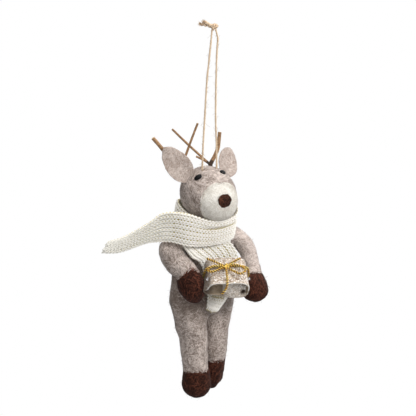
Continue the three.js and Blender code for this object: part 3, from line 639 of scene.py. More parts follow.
greyLook = woolLook("grey_wool_felt", greyTones, brownTones, (104, 66, 46))
brownLook = woolLook("brown_wool_felt", greyTones, brownTones, (92, 48, 30), sheen=0.05)
headLook = woolLook("head_wool_felt", greyTones, whiteTones, (192, 172, 152), ragged=0.5)
muzzleLook = woolLook("white_wool_felt", greyTones, whiteTones, (204, 188, 170), lumps=0.6, sheen=0.1,
                      ragged=0.25)
noseLook = woolLook("nose_wool_felt", ((30, 19, 16), (60, 38, 30), (106, 64, 48)), lumps=1.8, sheen=0.05)
earLook = woolLook("pale_wool_felt", paleTones, lumps=0.8)
# painted light: the left arm's wool is a lighter copy of the grey wool
litArmLook = woolLook("light_wool_felt", litArmTones, brownTones, (104, 66, 46), lumps=0.8)
meldReach = {"leg": 9.0, "arm": 5.0}
# Per form: its grid, its normals and where on it fibres grow
fuzzSources = {}


# Where the points of a form lie inside another one
def insideOf(grid, name):
    return distanceTo(grid, *samples[name], 3.0) < -0.6


# Share of painted shade at the hips, where the arms and the parcel shade them. In millimetres over the tops
# of the legs it is smooth(-22, -4)*smooth(26, 14).
def hipShade(points):
    z = points[..., 2] - legTop
    return smooth(-22.0, -4.0, z) * smooth(26.0, 14.0, z)


# Place and normal of every point once a form is lumpy and melded with its neighbours
def feltSurface(grid, neighbours, seed, lumps=1.0):
    normals = gridNormals(grid)
    rise = np.zeros(grid.shape[:2])
    for name, reach in neighbours:
        rise = np.maximum(rise, meld(grid, samples[name], reach))
    lumpy = grid + normals * (rise + woolLumps(grid, seed, lumps))[..., None]
    return lumpy, gridNormals(lumpy)


# A felted form as a padded piece. "other" is its share of the second wool, "deep" its painted shade, at the
# hips and over all of the left leg, the far one
def feltPiece(name, grid, slot, look, other):
    points, quads, tris = closedGrid(grid)
    other = np.ravel(other)
    other = np.concatenate([other, [other[0], other[-1]]])
    deep = hipShade(points) * name.startswith(("torso", "leg")) + 0.4 * (name == "leg_wool_left")
    piece = makePiece(name, (points, quads, tris), "figure", slot, look,
                      name.replace("_wool", "").replace("_felt", ""), other=other, deep=deep)


eyeTurns = {"right": -math.pi * 0.04, "left": math.pi * 0.12}
eyeSize = (2.65, 1.65, 1.25)        # its three radii
noseSize = {"width": 4.6, "height": 4.5, "thick": 1.35, "rise": 0.35, "proud": 0.22}


def eyePlace(sign):
    return headPlace + np.array([sign * 8.2 - 1.9, -6.65 - sign * 0.55, 13.2 + sign * 0.9])


# Head: the whole egg, its front sunk a little under the white wool
def buildHead():
    grid = feltGrid(headRows, 110, 150, **headCaps)
    lumpy, normals = feltSurface(grid, [], 11, 0.8)
    front = smooth(0.2, 2.0, muzzleBack - grid[..., 1])
    lumpy = lumpy - normals * (0.9 * front)[..., None]
    for sign in (-1, 1):
        away = np.hypot((grid[..., 0] - sign * 5.2) / 1.1, grid[..., 1] / 2.0)
        lumpy[..., 2] -= 1.15 * np.exp(-away ** 2) * (grid[..., 2] > headPlace[2])
        socket = np.linalg.norm(grid - eyePlace(sign), axis=-1)
        lumpy = lumpy - normals * (0.75 * np.exp(-(socket / 2.6) ** 4))[..., None]
    other = smooth(-1.6, 1.6, muzzleBack - grid[..., 1])
    feltPiece("head_wool", lumpy, "grey_wool", headLook, other)
    fuzzSources["head"] = (lumpy, normals, (1 - front) * (grid[..., 1] > muzzleBack - 0.5))

    cap = feltGrid(headRows, 80, 150, capEnd=headCaps["capEnd"], begin=0.795)
    lumpy, normals = feltSurface(cap, [], 17, 0.55)
    edge = smooth(1.6, -0.2, cap[..., 1] - muzzleBack + 0.25 * noiseAt(cap, 4.0, 71))
    lumpy = lumpy + normals * (0.25 - 1.5 * (1 - edge))[..., None]
    dent = np.hypot(cap[..., 0], cap[..., 2] - headPlace[2] - 0.35)
    lumpy[..., 1] += 0.5 * np.exp(-(dent / 4.6) ** 6)
    other = smooth(2.0, -3.4, cap[..., 1] - muzzleBack)
    feltPiece("muzzle_wool", lumpy, "white_wool", muzzleLook, other)
    fuzzSources["muzzle"] = (lumpy, normals, smooth(0.6, -0.4, cap[..., 1] - muzzleBack))


# Nose: a thick round pad, rough all over, its edge uneven
def buildNose():
    centre = np.array([0, headPlace[1] + headSize["back"] - headSize["length"] + noseSize["proud"],
                       headPlace[2] + noseSize["rise"]])
    down, turn = ballAngles(0.002, 60, 90)
    ragged = 1 + 0.03 * np.sin(3 * turn + 0.6) + 0.025 * np.sin(7 * turn) + 0.015 * np.sin(11 * turn + 1)
    flat = np.sign(np.cos(down)) * np.abs(np.cos(down)) ** 0.8
    grid = centre + np.stack([noseSize["width"] * np.sin(down) * np.cos(turn) * ragged,
                              -noseSize["thick"] * flat,
                              noseSize["height"] * np.sin(down) * np.sin(turn) * ragged], -1)
    normals = gridNormals(grid)
    grid = grid + normals * (0.22 * noiseAt(grid, 1.4, 5) + 0.16 * noiseAt(grid, 0.7, 6))[..., None]
    feltPiece("nose_wool", grid, "brown_wool", noseLook, np.ones(grid.shape[:2]))
    fuzzSources["nose"] = (grid, gridNormals(grid), (grid[..., 1] < centre[1] + 0.4) * 1.0)


# Eyes: glossy black ovals, a little flattened, sunk by half
def buildEyes():
    look = Look("black_bead_gloss", Roughness=0.35, Specular_IOR_Level=0.16)
    look.colour(look.mix(look.noise(0.8, 3.0).step(0.3, 0.8), (5, 5, 6), (14, 13, 14)))
    look.bump(look.noise(0.5, 2.0), 0.05, 0.5)
    for side, sign in signs.items():
        middle = Vector(eyePlace(sign))
        outward = (middle - Vector(headPlace)).normalized()
        middle += outward * 0.8
        turn = Vector((0, 0, 1)).rotation_difference(outward) @ Quaternion((0, 0, 1), eyeTurns[side])
        down, around = ballAngles(0.001, 40, 64)
        taper = 1 - 0.06 * np.cos(around)
        ball = np.stack([np.sin(down) * np.cos(around), np.sin(down) * np.sin(around) * taper,
                         np.sign(np.cos(down)) * np.abs(np.cos(down)) ** 0.85], -1) * eyeSize
        grid = ball @ np.array(turn.to_matrix()).T + np.array(middle)
        makePiece("eye_bead_" + side, closedGrid(grid[::-1]), "figure", "black_bead", look.material,
                  "eye_" + side)


# Ears: thick felt leaves, rounded at the rim and dished towards the front. The outline is half a width
# along the leaf, and roots and tips are shares of the head's size.
earOutline = [(0.00, 0.20), (0.10, 0.36), (0.25, 0.47), (0.42, 0.50), (0.58, 0.47), (0.74, 0.38),
              (0.87, 0.26), (0.96, 0.12), (1.00, 0.03)]
earRoots = {"right": (0.385, 0.02, 0.285), "left": (0.355, 0.02, 0.30)}
earTips = {"right": (0.785, 0.22, 0.872), "left": (0.650, 0.29, 0.735)}
earSize = {"width": 16.2, "dish": 2.2, "thick": 1.1}


def buildEars():
    for side, sign in signs.items():
        scale = np.array([sign * headSize["width"], headSize["length"], headSize["height"]])
        root, tip = (headPlace + scale * shares for shares in (earRoots[side], earTips[side]))
        length = np.linalg.norm(tip - root)
        run = (tip - root) / length
        facing = unit(np.array([0, -1, 0]) + run * run[1])
        across = unit(np.cross(run, facing))
        along = easedPlaces(90)
        half = alongRows(earOutline, along)[:, 0] * earSize["width"]
        half = half * np.sqrt(np.clip(1 - (along - 0.9) * np.abs(along - 0.9) * 60 * (along > 0.9), 0.02, 1))
        phi = turnAngles(84)[None]
        u = np.cos(phi)
        v = np.sign(np.sin(phi)) * np.abs(np.sin(phi)) ** 0.55
        dish = earSize["dish"] * u ** 2 * (half / earSize["width"] * 2 * (1.2 - along))[:, None]
        thick = earSize["thick"] * (1 - 0.35 * u ** 2) * np.minimum(1, half / 2.0)[:, None]
        spine = root + run * (along * length)[:, None]
        grid = spine[:, None] + across * (u * half[:, None])[..., None]
        grid = grid + facing * (dish + v * thick)[..., None]
        normals = gridNormals(grid)
        if (normals[40] * (grid[40] - grid[40].mean(0))).sum() < 0:
            grid = grid[:, ::-1]
            normals = gridNormals(grid)
        grid = grid + normals * (0.22 * noiseAt(grid, 3.5, 31) + 0.10 * noiseAt(grid, 1.2, 32))[..., None]
        feltPiece("ear_felt_" + side, grid, "pale_wool", earLook, np.zeros(grid.shape[:2]))
        fuzzSources["ear_" + side] = (grid, gridNormals(grid), np.ones(grid.shape[:2]))


def buildTorso():
    grid = feltGrid(torsoRows, 120, 170, capEnd=0.2)
    around = {limb + "_" + side: reach for limb, reach in meldReach.items() for side in signs}
    lumpy, normals = feltSurface(grid, around.items(), 41)
    feltPiece("torso_wool", lumpy, "grey_wool", greyLook, np.zeros(grid.shape[:2]))
    fuzzSources["torso"] = (lumpy, normals, 1.0 - np.any([insideOf(grid, name) for name in around], 0))


sink = 1.3          # how deep a piece sinks under its neighbour's wool


# A limb and its end are two pieces of one form: each sinks under the other past a wavy border line,
# where wavy is the distance past it in millimetres and the colours blend over a soft stretch. No fibre
# grows where the limb is inside the body or where it isn't clear.
def splitLimb(limb, end, side, look, grid, lumpy, normals, wavy, soft, stop, start, clear):
    upper = lumpy - normals * (sink * smooth(-0.1, 1.6, wavy))[..., None]
    lower = lumpy - normals * (sink * smooth(-0.1, 1.6, -wavy) - 0.12)[..., None]
    other = smooth(-soft, soft, wavy)
    feltPiece(f"{limb}_wool_{side}", upper[:stop], "grey_wool", look, other[:stop])
    feltPiece(f"{end}_wool_{side}", lower[start:], "brown_wool", brownLook, other[start:])
    fuzzSources[f"{end}_{side}"] = (lumpy, normals, (wavy > -0.6) * 1.0 * clear)
    fuzzSources[f"{limb}_{side}"] = (lumpy, normals, (wavy < 0.6) * 1.0 * clear * ~insideOf(grid, "torso"))


def buildLegs():
    for side in ("right", "left"):
        grid = feltGrid(legRows(side), 150, 110, **legCaps)
        lumpy, normals = feltSurface(grid, [("torso", meldReach["leg"])], 51 if side == "right" else 57)
        border = legTop - legSize["length"] + hoofHeights[side]
        aside = grid[..., 0] - grid[..., 0].mean(1, keepdims=True)
        raised = 1.6 + 0.05 * aside ** 2 * (aside > 0) if side == "right" else 0.6
        wavy = border + raised - grid[..., 2] + 0.9 * noiseAt(grid, 6.0, 61) + 0.35 * noiseAt(grid, 1.7, 62)
        if side == "left":
            slim = smooth(border, border - 14, grid[..., 2]) * smooth(0, 4, aside)
            lumpy = lumpy - normals * (1.3 * slim)[..., None]
            normals = gridNormals(lumpy)
        height = grid[..., 2].mean(1)
        stop, start = np.where(height > border - 3.5)[0].max(), np.where(height < border + 3.5)[0].min()
        splitLimb("leg", "hoof", side, greyLook, grid, lumpy, normals, wavy, 2.2, stop, start, True)


# Parcel frame: its place as shares of the arms' reach, pitch 35 degrees about X, then yaw -22 degrees
# about Z
parcelShares = {"out": -0.042, "forward": -0.817, "down": -0.760}
parcelPlace = crown + [share * armSize[key] for key, share in parcelShares.items()]
pitch, yaw = math.radians(35), math.radians(-22)
yawed = np.array([[math.cos(yaw), -math.sin(yaw), 0], [math.sin(yaw), math.cos(yaw), 0], [0, 0, 1]])
pitched = np.array([[1, 0, 0], [0, math.cos(pitch), -math.sin(pitch)], [0, math.sin(pitch), math.cos(pitch)]])
parcelTurn = yawed @ pitched
parcelSize = {"width": 26.0, "length": 20.2, "height": 14.8, "wall": 0.8, "corner": 5.6}
flapSize = {"hinge": 1.2, "length": 14.4, "top": 1.0, "bottom": 0.9, "side": 0.9, "corner": 3.6, "thick": 0.7}
skinGap = 0.15


def onParcel(points):
    return np.asarray(points) @ parcelTurn.T + parcelPlace


# Distance outside the parcel's rounded block: |max(q, 0)| + min(max(q), 0) - corner, q in its own frame
def outsideParcel(points):
    local = np.abs((points - parcelPlace) @ parcelTurn)
    corner = parcelSize["corner"]
    x = local[..., 0] - parcelSize["width"] / 2 + corner
    z = local[..., 2] - parcelSize["height"] / 2 + corner
    beyond = np.hypot(np.maximum(x, 0), np.maximum(z, 0)) + np.minimum(np.maximum(x, z), 0) - corner
    return np.maximum(beyond, local[..., 1] - parcelSize["length"] / 2)


# Arms and hands: a hand is pressed against the parcel's side, so it never comes nearer than its skin
def buildArms():
    for side in ("right", "left"):
        grid = feltGrid(armRows(side), 150, 100, **armCaps)
        lumpy, _ = feltSurface(grid, [("torso", meldReach["arm"])], 81 if side == "right" else 87)
        place = np.repeat(easedPlaces(len(grid))[:, None], grid.shape[1], 1)
        length, wrist = armSize["length"], wristShares[side]
        lean = grid[..., 0] - grid[..., 0].mean(1, keepdims=True)
        lean = 0.28 * np.minimum(lean, 0) - 0.32 * np.maximum(lean, 0) if side == "right" else 0 * lean
        wavy = (place - wrist) * length + lean + 0.7 * noiseAt(grid, 5.0, 91) + 0.25 * noiseAt(grid, 1.6, 92)
        for _ in range(3):
            inside = np.maximum(0, skinGap - outsideParcel(lumpy))
            local = (lumpy - parcelPlace) @ parcelTurn
            push = np.stack([np.sign(local[..., 0]), np.zeros_like(inside), np.zeros_like(inside)], -1)
            lumpy = lumpy + (push * inside[..., None]) @ parcelTurn.T
        normals = gridNormals(lumpy)
        far = place[:, 0] * length
        stop = np.where(far < wrist * length + 5.0)[0].max()
        start = np.where(far > wrist * length - 5.0)[0].min()
        splitLimb("arm", "hand", side, litArmLook if side == "left" else greyLook, grid, lumpy, normals, wavy,
                  2.0, stop, start, outsideParcel(lumpy) > 0.5)


# Twine: strands of three plies, each on the CAD's route: out from the middle as shares of the foot's
# place and down as shares of the drop

strandShares = {
    "right": [(0.99, 0.81), (0.89, 0.64), (0.82, 0.47), (0.72, 0.33), (0.49, 0.165), (0.38, 0.09)],
    "left": [(0.86, 0.81), (0.65, 0.65), (0.55, 0.47), (0.49, 0.24), (0.52, 0.105), (0.56, 0.055)],
}
twineSize = {"hole": 5.2, "neck": 1.45, "radius": 0.6, "pitch": 4.6}
juteLook = Look("jute_twine", Roughness=0.85, Sheen_Weight=0.15, Specular_IOR_Level=0.2)
# painted shade: the jute is darker where "shade" is low, in the grooves between the plies
juteTone = juteLook.noise(0.25, 2.0, juteLook.space((1, 1, 5))) * 0.6 + juteLook.value("shade") * 0.5
juteLook.colour(juteLook.mix(juteTone.step(0.35, 0.85), (146, 116, 88), (228, 204, 174)))
juteLook.bump(juteLook.noise(0.2, 2.0, juteLook.space((1, 1, 6))), 0.12, 0.8)


# Flat strips about lines of points, with a quad per segment
def stripMesh(points, flat, wide):
    count, k = points.shape[:2]
    grid = np.stack([points - flat * wide, points + flat * wide], 2)
    base = (np.arange(count) * k * 2)[:, None] + (np.arange(k - 1) * 2)[None]
    return grid.reshape(-1, 3), np.stack([base, base + 1, base + 3, base + 2], -1).reshape(-1, 4)


# Ribbons: p(s) = start + direction*L*s + side*curl*L*s^2, narrowing to both ends, each with one random
# shade, which is the second draw of two
def ribbons(start, direction, normal, length, width, curl, rng):
    count, points = len(start), 5
    s = np.linspace(0, 1, points)
    side = unit(np.cross(direction, normal))
    curls = rng.normal(size=(count, 1)) * curl
    line = (start[:, None] + direction[:, None] * (length[:, None] * s[None])[..., None]
            + side[:, None] * (curls * length[:, None] * s[None] ** 2)[..., None])
    wide = width * (0.35 + 0.65 * np.sin(np.pi * (0.12 + 0.76 * s)))[None, :, None] / 2
    flat = unit(np.cross(np.gradient(line, axis=1), normal[:, None]))
    return *stripMesh(line, flat, wide), np.repeat(rng.uniform(0, 1, (2, count))[1], points * 2)


# Hairs that leave a strand along it, to either side
def hairsAlong(path, count, length, width, stray, seed):
    rng = np.random.default_rng(seed)
    i = rng.integers(1, len(path) - 2, count)
    tangents = unit(np.gradient(path, axis=0))
    start = path[i] + unit(rng.normal(size=(count, 3))) * 0.45
    direction = unit(tangents[i] * np.sign(rng.normal(size=(count, 1))) + stray * rng.normal(size=(count, 3)))
    points, quads, _ = ribbons(start, direction, unit(rng.normal(size=(count, 3))),
                               length * rng.uniform(0.5, 1.3, count), width, 0.4, rng)
    return points, quads, noTris, np.zeros(len(points))


def buildTwine():
    strands, hairs = {}, []
    hole, neck = twineSize["hole"], twineSize["neck"]
    for side, sign in signs.items():
        foot = np.array([sign * hole, 0, -loopDrop])
        route = [foot + np.array([0, 0, -0.55]), foot + np.array([0, 0, 1.2])]
        route += [np.array([sign * out * hole, 0, -down * loopDrop]) for out, down in strandShares[side]]
        path = smoothRoute(route + [np.array([sign * neck, 0, 0.3])], 0.3)
        swell = 1 + 0.10 * noiseAt(path, 3.0, 101 + sign) + 0.06 * noiseAt(path, 0.9, 103 + sign)
        swell[:3] *= np.array([0.45, 0.8, 0.95])
        grid, edge = pliedGrid(path, twineSize["radius"], 3, twineSize["pitch"], swell=swell)
        # painted shade: "shade" is the ply edge, low in the grooves between the plies
        part = cappedPart(grid, edge, 0.5)
        piece = makePiece("twine_strand_" + side, part, "loop", "jute", juteLook.material, "twine_" + side,
                          shade=part[3])
        strands[side] = (piece, path)
        hairs.append(hairsAlong(path, count=150, length=3.0, width=0.10, stray=0.34, seed=200 + len(hairs)))
    makePiece("twine_hairs", joinParts(hairs), "loop", "jute", juteLook.material)
    knot = buildKnot()


# Start and size of each turn of the knot and the radius of its strand
knotTurns = [(0.0, 1.0, 0.78), (0.9, 0.82, 0.72)]
# How far each frayed end goes out and up, its lean towards the back, its plies, and its hairs
frays = [(-10.4, 3.2, 0.35, 2), (-8.6, 5.2, -0.5, 3)]
frayHairs = {"count": 120, "width": 0.16, "curl": 0.12}


# Knot: an overhand knot of two strands, whose frayed ends stand up to one side. A turn of it is
# x = sin(t) + 1.7*sin(2t), z = cos(t) - 1.7*cos(2t), y = -sin(3t). Two stubs join it to the strands.
def buildKnot():
    parts = []
    # painted shade in the grooves between the plies of the turns, stubs and frayed ends; the turns are a
    # little darker all over
    for turned, size, radius in knotTurns:
        t = np.linspace(0, 2 * np.pi, 220) + turned
        path = np.stack([(np.sin(t) + 1.7 * np.sin(2 * t)) * size - 0.55, -np.sin(3 * t),
                         (np.cos(t) - 1.7 * np.cos(2 * t)) / 2.7 * 1.75 * size + 2.75], -1)
        grid, edge = pliedGrid(path, radius, 3, 4.4, sides=16)
        parts.append((grid, gridQuads(len(grid), 16), noTris, edge * 0.72))
    for sign in (-1.0, 1.0):
        route = [(sign * twineSize["neck"], 0, 0.1), (sign * 1.25, 0, 1.0), (sign * 0.6, 0, 2.2)]
        parts.append(cappedPart(*pliedGrid(smoothRoute(route, 0.2), 0.62, 3, twineSize["pitch"]), 0.5))
    rng = np.random.default_rng(7)
    count = frayHairs["count"]
    for out, rise, lean, plies in frays:
        path = smoothRoute([(-1.0, lean, 2.6), (out * 0.45, lean, 2.5 + rise * 0.32),
                            (out * 0.8, lean * 1.6, 2.2 + rise * 0.66)], 0.2)
        grid, edge = pliedGrid(path, 0.92, plies, 5.0, sides=14, swell=np.linspace(1, 1.3, len(path)))
        parts.append(cappedPart(grid, 0.25 + 0.6 * edge, 0.8))
        start = path[-4] + unit(rng.normal(size=(count, 3))) * rng.uniform(0, 0.7, (count, 1))
        direction = unit(unit(path[-1] - path[-6]) + 0.24 * rng.normal(size=(count, 3)))
        normal = unit(rng.normal(size=(count, 3)))
        p, q, shade = ribbons(start, direction, normal, rng.uniform(1.2, 3.4, count), frayHairs["width"],
                              frayHairs["curl"], rng)
        parts.append((p, q, noTris, 0.5 + 0.4 * shade))
    part = joinParts(parts)
    return makePiece("twine_overhand_knot", part, "loop", "jute", juteLook.material, "twine_knot",
                     shade=part[3])


# A hidden solid that stays as in the CAD and only gets its material
def dressNode(name, material):
    nodes[name].data.materials.clear()
    nodes[name].data.materials.append(material)


buildTwine()
dressNode("twine_thread", juteLook.material)
print("twine built")

buildHead()
buildNose()
buildEyes()
buildEars()
buildTorso()
buildLegs()
buildArms()
print("wool forms built")


# Antlers: knobbly twigs with pale cut ends. Places are shares of the reach from the crown, and each arm
# has its points and its girth.

twigReach, knobRadius = 28.0, 1.42
antlers = {
    "right": {"root": (-0.300, 0.24, -0.300), "fork": (-0.507, 0.40, -0.040),
              "arms": [((-1.118, 0.64, 0.671), 2.5), ((-0.136, 0.36, 0.993), 1.5)]},
    "left": {"root": (0.245, 0.20, -0.300), "fork": (0.205, 0.32, 0.018),
             "arms": [((0.415, 0.36, 0.340, 0.490, 0.43, 0.730), 2.5), ((-0.403, 1.07, 0.739), 1.5),
                      ((-0.060, 0.52, 0.186), 1.4)]},
}


# Rings along a bowed twig, rough with its bark, and at its far end three rings that close the cut
def twigGrid(route, radiusStart, radiusEnd, seed, bow=0.35):
    path = smoothRoute(route, 0.3)
    rng = np.random.default_rng(seed)
    sideways = unit(np.cross(path[-1] - path[0], rng.normal(size=3)))
    t = np.linspace(0, 1, len(path))
    path = path + sideways * (bow * np.sin(np.pi * t))[:, None]
    sides = 26
    angle = turnAngles(sides)[None]
    radius = (radiusStart + (radiusEnd - radiusStart) * t)[:, None]
    ring = ringsRound(path, *pathFrames(path), angle, radius, radius)
    normals = unit(ring - path[:, None])
    drawn = (np.cos(angle) * 2.2 + t[:, None] * 0.6, np.sin(angle) * 2.2, t[:, None] * 9)
    streak = noiseAt(np.stack(np.broadcast_arrays(*drawn), -1), 1.0, seed)
    rough = 0.05 * streak + 0.07 * noiseAt(ring, 2.2, seed + 1)
    ring = ring + normals * (rough * radius)[..., None]
    last = ring[-1:].mean(1, keepdims=True)
    rim = last + (ring[-1:] - last) * 0.88 + unit(path[-1] - path[-2]) * 0.12
    ring = np.concatenate([ring, rim, last + (rim - last) * 0.5, last + (rim - last) * 0.04])
    tip = np.concatenate([smooth(0.93, 1.0, t) * 0.35, [1, 1, 1]])
    return ring, np.repeat(tip[:, None], sides, 1)


def buildAntlers():
    look = Look("twig_bark", Roughness=0.75, Specular_IOR_Level=0.25)
    grained = look.space((1, 1, 7), (0.3, 0.5, 0.0), look.noise(5.0, 1.0, colour=True), 2.0)
    grain = look.noise(0.35, 3.0, grained)
    spots = look.noise(1.6, 3.0, rough=0.7)
    bark = look.mix((grain * 0.6 + spots * 0.4).step(0.32, 0.68), (92, 66, 46), (184, 146, 108))
    bark = look.mix((look.value("crotch") + (spots - 0.5) * 0.8).step(0.35, 0.75), bark, (62, 48, 38))
    bark = look.mix(look.value("tip").step(0.3, 0.9), bark, (206, 178, 140))
    look.colour(bark)
    look.bump(grain * 0.5 + spots * 0.5, 0.25, 0.8)
    for side, shape in antlers.items():
        root, fork = (crown + twigReach * np.array(shape[k]) for k in ("root", "fork"))
        grids = [twigGrid([root, fork], 1.15, 1.25, 301, 0.0)]
        for i, (ahead, girth) in enumerate(shape["arms"]):
            ends = crown + twigReach * np.array(ahead).reshape(-1, 3)
            route = [fork - unit(ends[0] - fork) * 0.5, *ends]
            grids.append(twigGrid(route, girth / 2 * 1.08, girth / 2 * 0.94, 311 + i * 7))
        ball = ballPoints(0.02, 26, 32) * knobRadius
        ball = fork + ball * (1 + 0.14 * noiseAt(ball, 0.9, 47))[..., None]
        grids.append((ball[::-1], np.zeros(ball.shape[:2])))
        part = joinParts([cappedPart(grid, tip, (tip[0, 0], tip[-1, 0])) for grid, tip in grids])
        near = np.linalg.norm(part[0] - fork, axis=1)
        makePiece("antler_twig_" + side, part, "figure", "bark", look.material, "antler_" + side,
                  tip=part[3], crotch=smooth(5.0, 1.5, near))


buildAntlers()
print("antlers built")


# Scarf

scarfWidth = 20.0
scarfShares = [
    (0.000, -3.53, 0.10, -2.190, 0.100, 0.00, 0.185), (0.050, -3.00, 0.10, -2.175, 0.060, 0.00, 0.250),
    (0.120, -2.14, 0.04, -1.890, 0.040, -0.02, 0.350), (0.175, -1.74, -0.04, -1.740, 0.030, -0.05, 0.480),
    (0.220, -1.40, -0.24, -1.700, 0.010, -0.08, 0.520), (0.290, -0.95, -0.57, -1.775, -0.010, -0.04, 0.540),
    (0.360, -0.30, -0.72, -1.895, 0.000, -0.08, 0.450), (0.425, 0.42, -0.68, -1.850, 0.010, -0.09, 0.455),
    (0.480, 0.79, -0.40, -1.715, 0.030, -0.03, 0.460), (0.530, 0.87, 0.16, -1.560, 0.010, -0.01, 0.330),
    (0.585, 0.60, 0.84, -1.600, -0.020, 0.02, 0.340), (0.640, -0.16, 0.99, -1.560, 0.000, 0.02, 0.370),
    (0.690, -0.80, 0.66, -1.460, 0.040, 0.00, 0.385), (0.735, -0.97, 0.12, -1.620, 0.120, 0.06, 0.400),
    (0.775, -0.76, -0.27, -1.960, 0.260, -0.03, 0.400), (0.820, -0.20, -0.52, -2.440, 0.660, 0.03, 0.240),
    (0.860, 0.12, -0.55, -2.800, 0.740, 0.01, 0.030), (0.900, 0.18, -0.57, -3.260, 0.580, 0.00, -0.050),
    (0.950, 0.11, -0.65, -3.950, 0.400, 0.00, -0.110), (1.000, -0.14, -0.74, -4.460, 0.200, 0.00, -0.080),
]
scarfRows = [(row[0], *(share * scarfWidth for share in row[1:])) for row in scarfShares]


# Strip frame at a place 0..1: middle, half width vector, the way through the cloth and the way ahead
def scarfAt(place):
    place = np.clip(place, 0, 1)
    at = alongRows(scarfRows, place)
    ahead = aheadAlong(scarfRows, place, 2e-3)
    return at[:, :3] + crown, at[:, 3:], unit(np.cross(ahead, at[:, 3:])), ahead


# The band's top rib is folded over: it stands out, with a line of painted shadow below it
def foldOf(place, across):
    window = smooth(0.30, 0.38, place) * smooth(0.56, 0.50, place)
    line = np.exp(-((across - 0.36) / 0.13) ** 2) * window
    return 0.9 * smooth(0.38, 0.62, across) * window - 0.9 * line, line


# Point at (place, across -1..1, millimetres through): middle + width*across + through*depth
def onScarf(place, across, depth):
    shape = place.shape
    middle, width, through, _ = scarfAt(place.ravel())
    curl = -0.55 * np.abs(across.ravel()) ** 6 + foldOf(place.ravel(), across.ravel())[0]
    points = middle + width * across.ravel()[:, None] + through * (depth.ravel() + curl)[:, None]
    return points.reshape(*shape, 3)


yarnSize = {"course": 2.15, "wales": 7, "radius": 0.47, "reach": 0.80}


# Yarn: "front" runs from painted shade in the hollows to painted light on the crowns of the loops, the flying
# tail is greyed by painted shade and "line" is a painted olive line of shade down the middle of each rib
def yarnLook():
    look = Look("knit_yarn", Roughness=0.9, Sheen_Weight=0.3, Specular_IOR_Level=0.15)
    twist = look.noise(0.35, 2.0)
    front = look.value("front") + (twist - 0.5) * 0.3
    lit = look.mix(front.step(0.28, 0.82), (178, 160, 92), (254, 250, 242))
    grey = look.mix(front.step(0.16, 0.78), (166, 158, 122), (226, 223, 214))
    shaded = look.mix(look.value("dim").step(0, 1), lit, grey)
    olive = look.mix(twist.step(0.3, 0.7), (192, 172, 92), (222, 206, 138))
    look.colour(look.mix(look.value("line").step(0, 1), shaded, olive))
    look.bump(twist, 0.25, 0.8)
    return look.material


# A sheet of painted shade behind the loops, seen through the holes of the knit: a thin closed strip, olive
# under the holes in the middle of a rib and pale at the strip's sides, between the ribs, at the back and
# towards both ends
def buildShadeSheet(places):
    columns, half, back = 71, 0.22, 0.32
    strip = np.linspace(-1, 1, columns)
    place, across = np.meshgrid(places, np.concatenate([strip, strip[::-1]]), indexing="ij")
    depth = np.repeat(np.repeat([half, -half], columns)[None], len(places), 0) - back
    part = closedGrid(onScarf(place, across * 0.93, depth)[:, ::-1])
    look = Look("knit_shade_sheet", Roughness=1.0, Specular_IOR_Level=0.05)
    olive = look.mix(look.noise(0.8, 3.0).step(0.3, 0.7), (158, 138, 54), (206, 188, 108))
    look.colour(look.mix(look.value("border").step(0.72, 0.92), olive, (224, 219, 202)))
    look.bump(look.noise(0.5, 3.0), 0.3, 0.8)
    ends = 0.88 * smooth(0.31, 0.20, place) + 0.84 * smooth(0.89, 0.92, place)
    between = 0.9 * smooth(-0.2, 0.5, np.cos(np.pi * yarnSize["wales"] * (across * 0.96 + 1)))
    pale = np.maximum(np.maximum(np.abs(across), between), depth < -back)
    border = np.append(np.maximum(pale[:, ::-1], ends).ravel(), [1.0, 1.0])
    return makePiece("scarf_shade_sheet", part, "figure", "knit", look.material, "scarf", border=border)


# Painted shade and light round the yarn: shade in the hollows, in the middle of a rib and under the fold,
# none at the back
def yarnShades(t, angle, place, across, depth):
    off = np.abs(t % (2 * np.pi) - np.pi)[None]
    flying, lowEnd = smooth(0.34, 0.22, place), smooth(0.89, 0.92, place)
    furrow = 0.1 * smooth(1.5, 0.85, off) * flying + 0.15 * smooth(1.35, 0.8, off) * (1 - flying)
    # painted shade over the low tail, its sides and bottom edge left light
    frontEnd = 0.7 * smooth(0.985, 0.955, place) * smooth(0.85, 0.55, np.abs(across))
    furrow = furrow * (1 - lowEnd) + frontEnd * lowEnd
    # painted light over the hanging part of the scarf
    hung = smooth(0.79, 0.82, place) * smooth(0.92, 0.86, place)
    level = (depth + 0.75 + 0.6 * hung - 1.6 * furrow - foldOf(place, across)[1]) / 1.3
    behind = smooth(-0.25, -0.7, np.sin(angle))
    # painted light on the side of each strand that faces out of the cloth, painted shade on the side towards
    # it
    front = np.maximum(level[..., None] + 0.45 * np.sin(angle), 1.1 * behind)
    # painted shade that greys the flying tail
    dim = np.broadcast_to(0.75 * smooth(0.34, 0.08, place)[..., None], front.shape)
    line = smooth(1.5, 0.7, off) * (0.8 * flying + 0.25 * (1 - flying) * (1 - lowEnd))
    line = line[..., None] * (1 - behind)
    return {"front": front, "dim": dim, "line": line}


